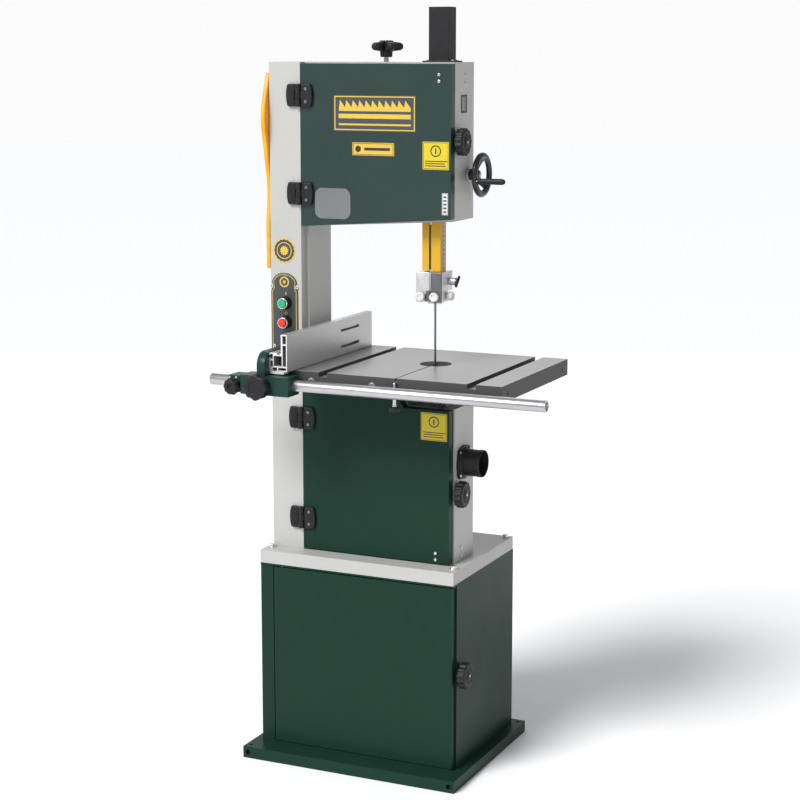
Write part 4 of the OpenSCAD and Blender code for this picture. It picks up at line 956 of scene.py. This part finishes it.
# ---- motor ----
def motor_pieces():
    piece = Piece()
    at = Vector((pivot("motor_spin").x, low("motor").y, pivot("motor_spin").z))
    x, y, z = at

    def here(dx, dy, dz):
        return Vector((x + dx, y + dy, z + dz))

    piece.prism(MOTOR_PAINT, rectangle((x - 60, z - 55), (x + 60, z + 55), 14), "y", y, y + 7, 1.2)
    shell = [(6, 0), (6, 40), (9, 46), (18, 53), (31, 54), (32, 51), (36, 51), (136, 51), (138, 56),
             (141, 57.5), (160, 57.5), (166, 53), (166, 0)]
    piece.turned(MOTOR_PAINT, at, "y", shell, 3, 4, 96)
    for a in around(30):
        if sin(a) <= 0.83:
            piece.block(MOTOR_PAINT, here(49, 33, -1.3), here(57, 137, 1.3), 0.6, 2, (-Y, a, at))
    for a in around(24):
        for r in (20, 33):
            piece.block(INK, here(r, 165.4, -1.8), here(r + 10, 166.3, 1.8), 0.2, 1, (Y, a, at))
    screw_r = 47.88
    for a in around(4, pi / 4):
        c, s = polar(a)
        cap_screw(piece, here(screw_r * c, 163.5, screw_r * s), "y", 3, 2.4)
        hex_head(piece, here(70 * c, 7, 64 * s), "y", 6.5, 5)
    top = high("motor").z
    piece.block(MOTOR_PAINT, here(-36, 40, 46), (x + 36, y + 110, top - 9), 4, 3)
    piece.block(MOTOR_PAINT, (x - 36, y + 40, top - 8.4), (x + 36, y + 110, top), 3, 3)
    for dx in (-30, 30):
        for dy in (46, 104):
            cap_screw(piece, (x + dx, y + dy, top - 0.9), "z", 2.8, 0.9)
    piece.block(LIGHT_CAST, here(-36.7, 54, 66), here(-35.8, 96, 84), 0.3)
    gland = here(14, 40, 70)
    hex_head(piece, gland, "-y", 9, 7, BLACK)
    disc(piece, BLACK, gland - 7 * Y, "-y", 6.5, 6, 1.5, 40, 3.5)
    piece.done("motor_shell", "frame", ["motor"])


# ---- fence knobs, pads and small levers ----
def fence_knobs():
    clamp = [(0, 0), (0, 25.5), (2, 29), (16.5, 29), (19, 25.5), (19, 14.6), (17, 13.8), (17, 0)]
    micro = [(0, 0), (0, 16.6), (1.8, 19.2), (8, 19.2), (13, 17.6), (17, 13.8), (17, 6.4), (13, 5.6), (13, 0)]
    for body, node, outline, shape, hub_r, bolt_r in (
            ("clamp_knob", "clamp_knob", clamp, lobes(8, 0.1, 1.1), 12, 4.95),
            ("micro_knob", "micro_adjust_knob", micro, lobes(10, 0.08, 1.1), 8, 3.95)):
        at = pivot(body + "_turn")
        at.y = low(node).y + max(height for height, _ in outline)
        piece = Piece()
        knob(piece, at, "-y", outline, shape, 160)
        disc(piece, BLACK, at + 7.5 * Y, "-y", hub_r, 9, 1)
        piece.tube(ZINC, [at - 2 * Y, (at.x, high(node).y, at.z)], bolt_r, 28)
        piece.done(body + "_grip", body, [node])


def fence_trim():
    piece = Piece()
    for x, z in ((-234, 909), (-218, 909), (-234, 882)):
        cap_screw(piece, (x, -306, z), "-y", 2.8, 2.2)
    for y, z in ((-268, 946), (-228, 944)):
        hex_head(piece, (-167, y, z), "-x", 6, 4)
    piece.block(PALE_PRINT, (-147, -284, 919.4), (-112, -262, 925), 0.5)
    piece.done("fence_trim", "fence")


def small_levers():
    at = pivot("alignment_pin_turn")
    lo, hi = box("alignment_pin")
    piece = Piece()
    bend_r, rod_z = 2.4, 914
    rod = [(at.x, at.y, lo.z + 6), (at.x, at.y, 906)]
    for k in range(7):
        c, s = polar(pi / 12 * k, bend_r)
        rod.append((at.x, at.y + bend_r - c, rod_z - bend_r + s))
    rod.append((at.x, hi.y, rod_z))
    piece.tube(SHAFT, rod, [3.6] * 2 + [2.9] * 8, 24)
    knob(piece, (at.x, at.y, lo.z), "z", grooved(12, 11, 0.5), lobes(12, 0.09, 1.2))
    disc(piece, ZINC, (at.x, at.y, lo.z + 11), "z", 5.5, 3, 0.6)
    piece.done("alignment_rod", "alignment_pin", ["alignment_pin"])

    lever = Piece()
    lo, hi = box("tilt_lock_lever")
    at = pivot("tilt_lock_turn")
    disc(lever, BLACK, (at.x, hi.y, at.z), "-y", 8, hi.y - lo.y, 1.2)
    cap_screw(lever, (at.x, lo.y + 0.8, at.z), "-y", 4, 0.8)
    strap(lever, BLACK, [(at.x - r, hi.y - 10.5, at.z) for r in (2, 14, 36, 52, 60, 66, 71.5)], Z,
          [(13, 8), (9, 7), (7.5, 6.5), (8, 7), (12, 11), (13.6, 13), (8, 8)], 2.2)
    lever.done("tilt_lever", "tilt_lock", ["tilt_lock_lever"])


# ---- switch ----
def switch_front():
    piece = Piece()
    wall, top = low("column").y, high("switch_plate").z
    x_mid, z_on, z_off = middle("start_button").x, middle("start_button").z, middle("stop_button").z
    left, right, foot, neck = -235, -167, 936, 1082
    mid = (left + right) / 2
    arch = [(left, foot), (right, foot), (right, neck - 2), (right - 5, neck + 3), (right - 3.5, neck + 12)]
    for k in range(17):
        x, z = polar(radians(12 + 9.75 * k), 32.5)
        arch.append((mid + x, neck + 10 + 0.86 * z))
    arch += [(left + 3.5, neck + 12), (left + 5, neck + 3), (left, neck - 2)]
    shape = [Vector((p.x, min(p.y, top))) for p in fillet(arch, 5)]
    piece.prism(SLATE, shape, "y", wall - 2, wall - 0.05, 0.4)
    line = (wall - 2.25, wall - 1.9)
    flat_band(piece, GOLD, inset(shape, 3.2), inset(shape, 4.6), *line)
    seal = (mid, neck + 17)
    hoop(piece, GOLD, seal, 12, 8.8, 48, *line)
    piece.prism(GOLD, circle(seal, 4, 6), "y", *line)
    piece.prism(GOLD, rectangle((x_mid - 1.2, z_on + 17.5), (x_mid + 1.2, z_on + 24)), "y", *line)
    mark = (x_mid, z_off + 20.5)
    hoop(piece, GOLD, mark, 3.6, 2.2, 32, *line)
    screws = [(mid + side * dx, z) for dx, z in ((31.5, neck + 6), (26, foot + 15)) for side in (-1, 1)]
    for x, z in screws:
        disc(piece, ZINC, (x, wall - 1.2, z), "-y", 4.2, 2.2, 0.9, 36)
        # black crosses on the screw heads: painted shade standing in for their cross recesses
        for wide, tall in ((2.6, 0.4), (0.4, 2.6)):
            piece.block(INK, (x - wide, wall - 3.5, z - tall), (x + wide, wall - 3.2, z + tall))
    sleeve = [(0, 9.8), (0, 15), (2, 15), (3, 14), (16, 14), (17, 13), (17, 9.8)]
    ring = [(16.6, 9.8), (16.6, 12.9), (19, 12.6), (20, 11.6), (19.6, 9.8)]
    for z in (z_on, z_off):
        piece.turned(BLACK, (x_mid, wall - 2, z), "-y", sleeve, 0.7, 4, 64)
        piece.turned(ZINC, (x_mid, wall - 2, z), "-y", ring, 0.5, 4, 64)
    piece.block(BLACK, (-226, wall + 3, 985), (-168, wall + 36, 1075), 2)
    gland = (-193, high("column").y, 560)
    hex_head(piece, gland, "y", 15, 9, BLACK)
    nut = fillet([(9, 4.5), (9, 11.5), (11, 12), (20, 12), (27, 9.5), (29, 8), (29, 4.5)], 1)
    profile = [(p.x, p.y, 1.0 if p.y > 8 else 0.0) for p in nut]
    piece.lathe(BLACK, gland, "y", profile, 96, lobes(16, 0.05, 1), loop=True)
    piece.done("switch_front", "frame", ["switch_plate"])
    # the start button's face stands a little further back
    for name, material, slot, face in (("start_button", LEAF_GREEN, "green_plastic", 0.9),
                                       ("stop_button", RED, "red_plastic", 0)):
        cap = Piece()
        lo, hi = box(name)
        deep = hi.y - lo.y
        outline = [(deep, 0), (deep, 6.4), (8, 6.4), (8, 9.4), (1.2, 9.4), (face, 8.6), (face + 0.5, 6.4),
                   (face + 0.5, 0)]
        cap.turned(material, (x_mid, lo.y, middle(name).z), "y", outline, 0.6, 3, 64)
        cap.done(name + "_cap", name, [name])


# ---- badges, labels, screws ----
def badge(piece, lo, hi, face, ground, line, width, radius, start):
    """Plate on a front face at Y = face, with a framing line that begins start mm inside its rim."""
    def outline(margin, corner):
        return rectangle((lo[0] + margin, lo[1] + margin), (hi[0] - margin, hi[1] - margin), corner)
    piece.prism(ground, outline(0, radius), "y", face - 0.6, face + 0.05)
    flat_band(piece, line, outline(start, 0.7 * radius), outline(start + width, 0.4 * radius), face - 0.8,
              face - 0.5)


def bar(piece, material, lo, hi, face):
    piece.prism(material, rectangle(lo, hi), "y", face - 0.8, face - 0.5)


def yellow_label(piece, lo, hi, face):
    """Plain yellow label with a dark frame, a bar in a ring and three lines."""
    badge(piece, lo, hi, face, SIGN_YELLOW, DARK_PRINT, 0.9, 1.5, 1.6)
    mid, scale = (lo[0] + hi[0]) / 2, (hi[0] - lo[0]) / 62
    centre = (mid, hi[1] - 20)
    hoop(piece, DARK_PRINT, centre, 12.5, 10, 40, face - 0.8, face - 0.5)
    bar(piece, DARK_PRINT, (mid - 1.5, hi[1] - 26), (mid + 1.5, hi[1] - 14), face)
    for k, end in enumerate((58, 52, 55)):
        foot = lo[1] + 17 - 5 * k
        bar(piece, DARK_PRINT, (lo[0] + 6 * scale, foot), (lo[0] + end * scale, foot + 2), face)


def door_screws(piece, x, face, heights):
    for z in heights:
        disc(piece, INK, (x, face, z), "-y", 4.4, 0.5, 0.1, 32)
        cap_screw(piece, (x, face - 0.3, z), "-y", 3.4, 2.6)


def door_graphics():
    face = low("upper_door").y
    piece = Piece()
    badge(piece, (-75, 1440), (124, 1519), face, SLATE, GOLD, 2.4, 2, 2.4)
    left, right, pitch = -62, 112, 15.8
    teeth = [(left, 1484)]
    for k in range(11):
        x = left + pitch * k
        teeth += [(x + 3, 1508), (x + pitch, 1492)]
    piece.prism(GOLD, [*teeth, (right, 1484)], "y", face - 0.85, face - 0.5)
    bar(piece, GOLD, (left, 1468), (right, 1478), face)
    bar(piece, GOLD, (left, 1453), (right, 1457), face)
    badge(piece, (-29, 1388), (72, 1416), face, GOLD, DARK_PRINT, 1.0, 2, 1.6)
    piece.prism(DARK_PRINT, circle((-15, 1402), 7.5, 6, pi / 6), "y", face - 0.85, face - 0.5)
    bar(piece, DARK_PRINT, (0, 1399), (62, 1405), face)
    yellow_label(piece, (140, 1361), (202, 1421), face)
    badge(piece, (186, 1264), (200, 1311), face, PALE_PRINT, DARK_PRINT, 0.6, 1, 1.0)
    for k in range(5):
        bar(piece, DARK_PRINT, (189.5, 1269 + 8 * k), (196.5, 1272.5 + 8 * k), face)
    door_screws(piece, 178.6, face, (1564, 1550))
    piece.done("upper_door_badges", "upper_door")
    face = low("lower_door").y
    piece = Piece()
    yellow_label(piece, (137, 765), (200, 827), face)
    door_screws(piece, 173.4, face, (510, 495))
    piece.done("lower_door_label", "lower_door")


def frame_graphics():
    """Seal on the column, the tension window's scale, screws on the sides and on the post's cover."""
    piece = Piece()
    face = low("column").y
    centre = Vector((-201, 1170))
    for base, depth, material, front, back in ((29, 1.6, GOLD, -0.6, 0.05),
                                               (25.5, 1.4, SLATE, -0.85, -0.5)):
        outline = [centre + polar(a, base - depth * (0.5 - 0.5 * cos(16 * a))) for a in around(96)]
        piece.prism(material, outline, "y", face + front, face + back)
    hoop(piece, GOLD, centre, 19, 17, 64, face - 1.05, face - 0.8)
    star = [centre + polar(a, 12 if k % 2 else 8.5) for k, a in enumerate(around(24))]
    piece.prism(GOLD, star, "y", face - 1.05, face - 0.8)
    wall = high("upper_wheel_housing").x
    flat_band(piece, INK, rectangle((-51, 1481), (-20, 1520), 2),
              rectangle((-47.5, 1484.5), (-23.5, 1516.5), 1), wall, wall + 1, "x")
    piece.prism(PANE, rectangle((-49, 1483), (-22, 1518)), "x", wall - 0.2, wall + 0.5)
    for k in range(7):
        z = 1488 + 4 * k
        piece.block(PALE_PRINT, (wall + 0.45, -45, z), (wall + 0.62, -38 if k % 3 else -34, z + 0.9))
    for at in ((204, -28, 1563), (204, -28, 1544), (208, -50, 513), (208, -50, 493)):
        cap_screw(piece, at, "x", 4, 2.4)
    lo, hi = box("post_cover")
    for x in (lo.x + 6, hi.x - 6):
        for y in (lo.y + 14, hi.y - 14):
            cap_screw(piece, (x, y, high("column").z + 3), "z", 3.4, 2.2)
    piece.done("frame_badges_and_screws", "frame")


def post_scale():
    piece = Piece()
    lo, hi = box("guide_post")
    mid = (lo.y + hi.y) / 2
    piece.block(SCALE_FOIL, (hi.x - 0.1, mid - 6, lo.z + 3), (hi.x + 0.45, mid + 6, 1596), 0.1)
    for k in range(46):
        disc(piece, INK, (hi.x + 0.4, mid, lo.z + 8 + 10.2 * k), "x", 2.3, 0.2, 0, 20)
    # black inner wall behind the guard's slot, which ends below the wheel: painted shade standing in for the
    # shaded inside of the guard's channel
    piece.block(INK, (131.5, lo.y, lo.z + 4), (133, lo.y + 16, 1236))
    piece.done("post_scale", "guide_post")


def dust_pipe():
    """Outlet on a flange with four screw lobes."""
    piece = Piece()
    at = Vector((low("dust_port").x, *middle("dust_port").yz))

    def lobe(a):
        return 5.5 * exp(-((degrees(a) % 90 - 45) / 17) ** 2)

    thick, bore = 5, 30
    rings = [ring_about(at, "x", height, 120, lambda a: radius + lobe(a))
             for height, radius in ((0, 38), (4.2, 38), (thick, 37.2))]
    rings += [ring_about(at, "x", height, 120, lambda a: bore) for height in (thick, 0)]
    piece.loft(BLACK, rings, loop=True)
    tube = [(0, 28.5), (0, 34), (6, 33.6), (9, 30.4), (38, 30.2), (40, 31), (47, 31), (50, 30.2), (50, 28.5)]
    piece.turned(BLACK, at, "x", tube, 1.2, 4, 96)
    for a in around(4, pi / 4):
        cap_screw(piece, at + Vector((thick, *polar(a, 37))), "x", 3.5, 2)
    piece.done("dust_outlet", "frame", ["dust_port"])


def stick():
    piece = Piece()
    wall = low("column").x
    outline = [(-105, 1566), (-121, 1515), (-131, 1480), (-129, 1445), (-121, 1405), (-106, 1330),
               (-102, 1290), (-110, 1235), (-109, 1127), (-96, 1127), (-90, 1143), (-79, 1127), (-71, 1127),
               (-74, 1240), (-80, 1340), (-78, 1400), (-66, 1450), (-61, 1500), (-68, 1545), (-86, 1566)]
    piece.prism(ORANGE, fillet(outline, 16, 5), "x", wall - 12.5, wall - 2, 2.6, 4)
    for z in (1300, 1330, 1360):
        piece.block(ORANGE, (wall - 13.4, -98, z), (wall - 11.5, -86, z + 8), 0.9, 3)
    peg = Vector((wall, -84, 1490))
    disc(piece, BLACK, peg, "-x", 12, 2, 0.8)
    piece.tube(BLACK, [peg, peg - 16 * X], 4.5, 32)
    disc(piece, BLACK, peg - 12.6 * X, "-x", 6.4, 4.8, 1.4)
    piece.done("push_stick_on_peg", "frame", ["push_stick"])


# ---- CAD nodes that keep their shape ----
DRESSED = (
    (GREEN, 1.2, "base_plinth"), (GREEN, 0.8, "cabinet_body cabinet_door lower_door"),
    # the upper door's green carries painted sheen in its lighter, greyer colour
    (GREEN_WITH_PAINTED_SHEEN, 0.8, "upper_door"), (PANE, 0.5, "door_window"), (ZINC, 0.4, "frame_fasteners"),
    (WHITE, 1.2, "cabinet_lid column"), (WHITE, 0.8, "upper_wheel_housing lower_wheel_housing"),
    (IRON, 0.8, "carriage lower_guide_holder trunnions trunnion_bracket"), (RUBBER, 0.3, "drive_belt"),
    (SHAFT, 0.4, "upper_bearings lower_bearings lower_guide_bearings motor_pulley"),
    (SHAFT, 0.6, "upper_axle lower_axle"), (SHAFT, 0, "guide_rack"), (YELLOW, 1.0, "guide_post"),
    (YELLOW, 0.5, "blade_guard"), (BLACK, 2.5, "post_cover"), (TABLE_IRON, 1.0, "table"),
    (INSERT, 0.3, "table_insert"), (RAIL, 0.5, "fence_rail"), (CAST_GREEN, 1.6, "fence_carrier"),
    (ALUMINIUM, 0.35, "fence"),
)

make_camera()
make_stage()
for material, edge, names in DRESSED:
    for name in names.split():
        dress(name, material, edge)
hinges()
for name in ("upper_latch", "lower_latch", "cabinet_latch"):
    latch(name)
tension_knob()
tension_coil()
tracking()
handwheel()
guide_head()
blade_band()
wheel_pieces("upper_wheel")
wheel_pieces("lower_wheel")
motor_pieces()
fence_knobs()
fence_trim()
small_levers()
switch_front()
door_graphics()
frame_graphics()
post_scale()
dust_pipe()
stick()
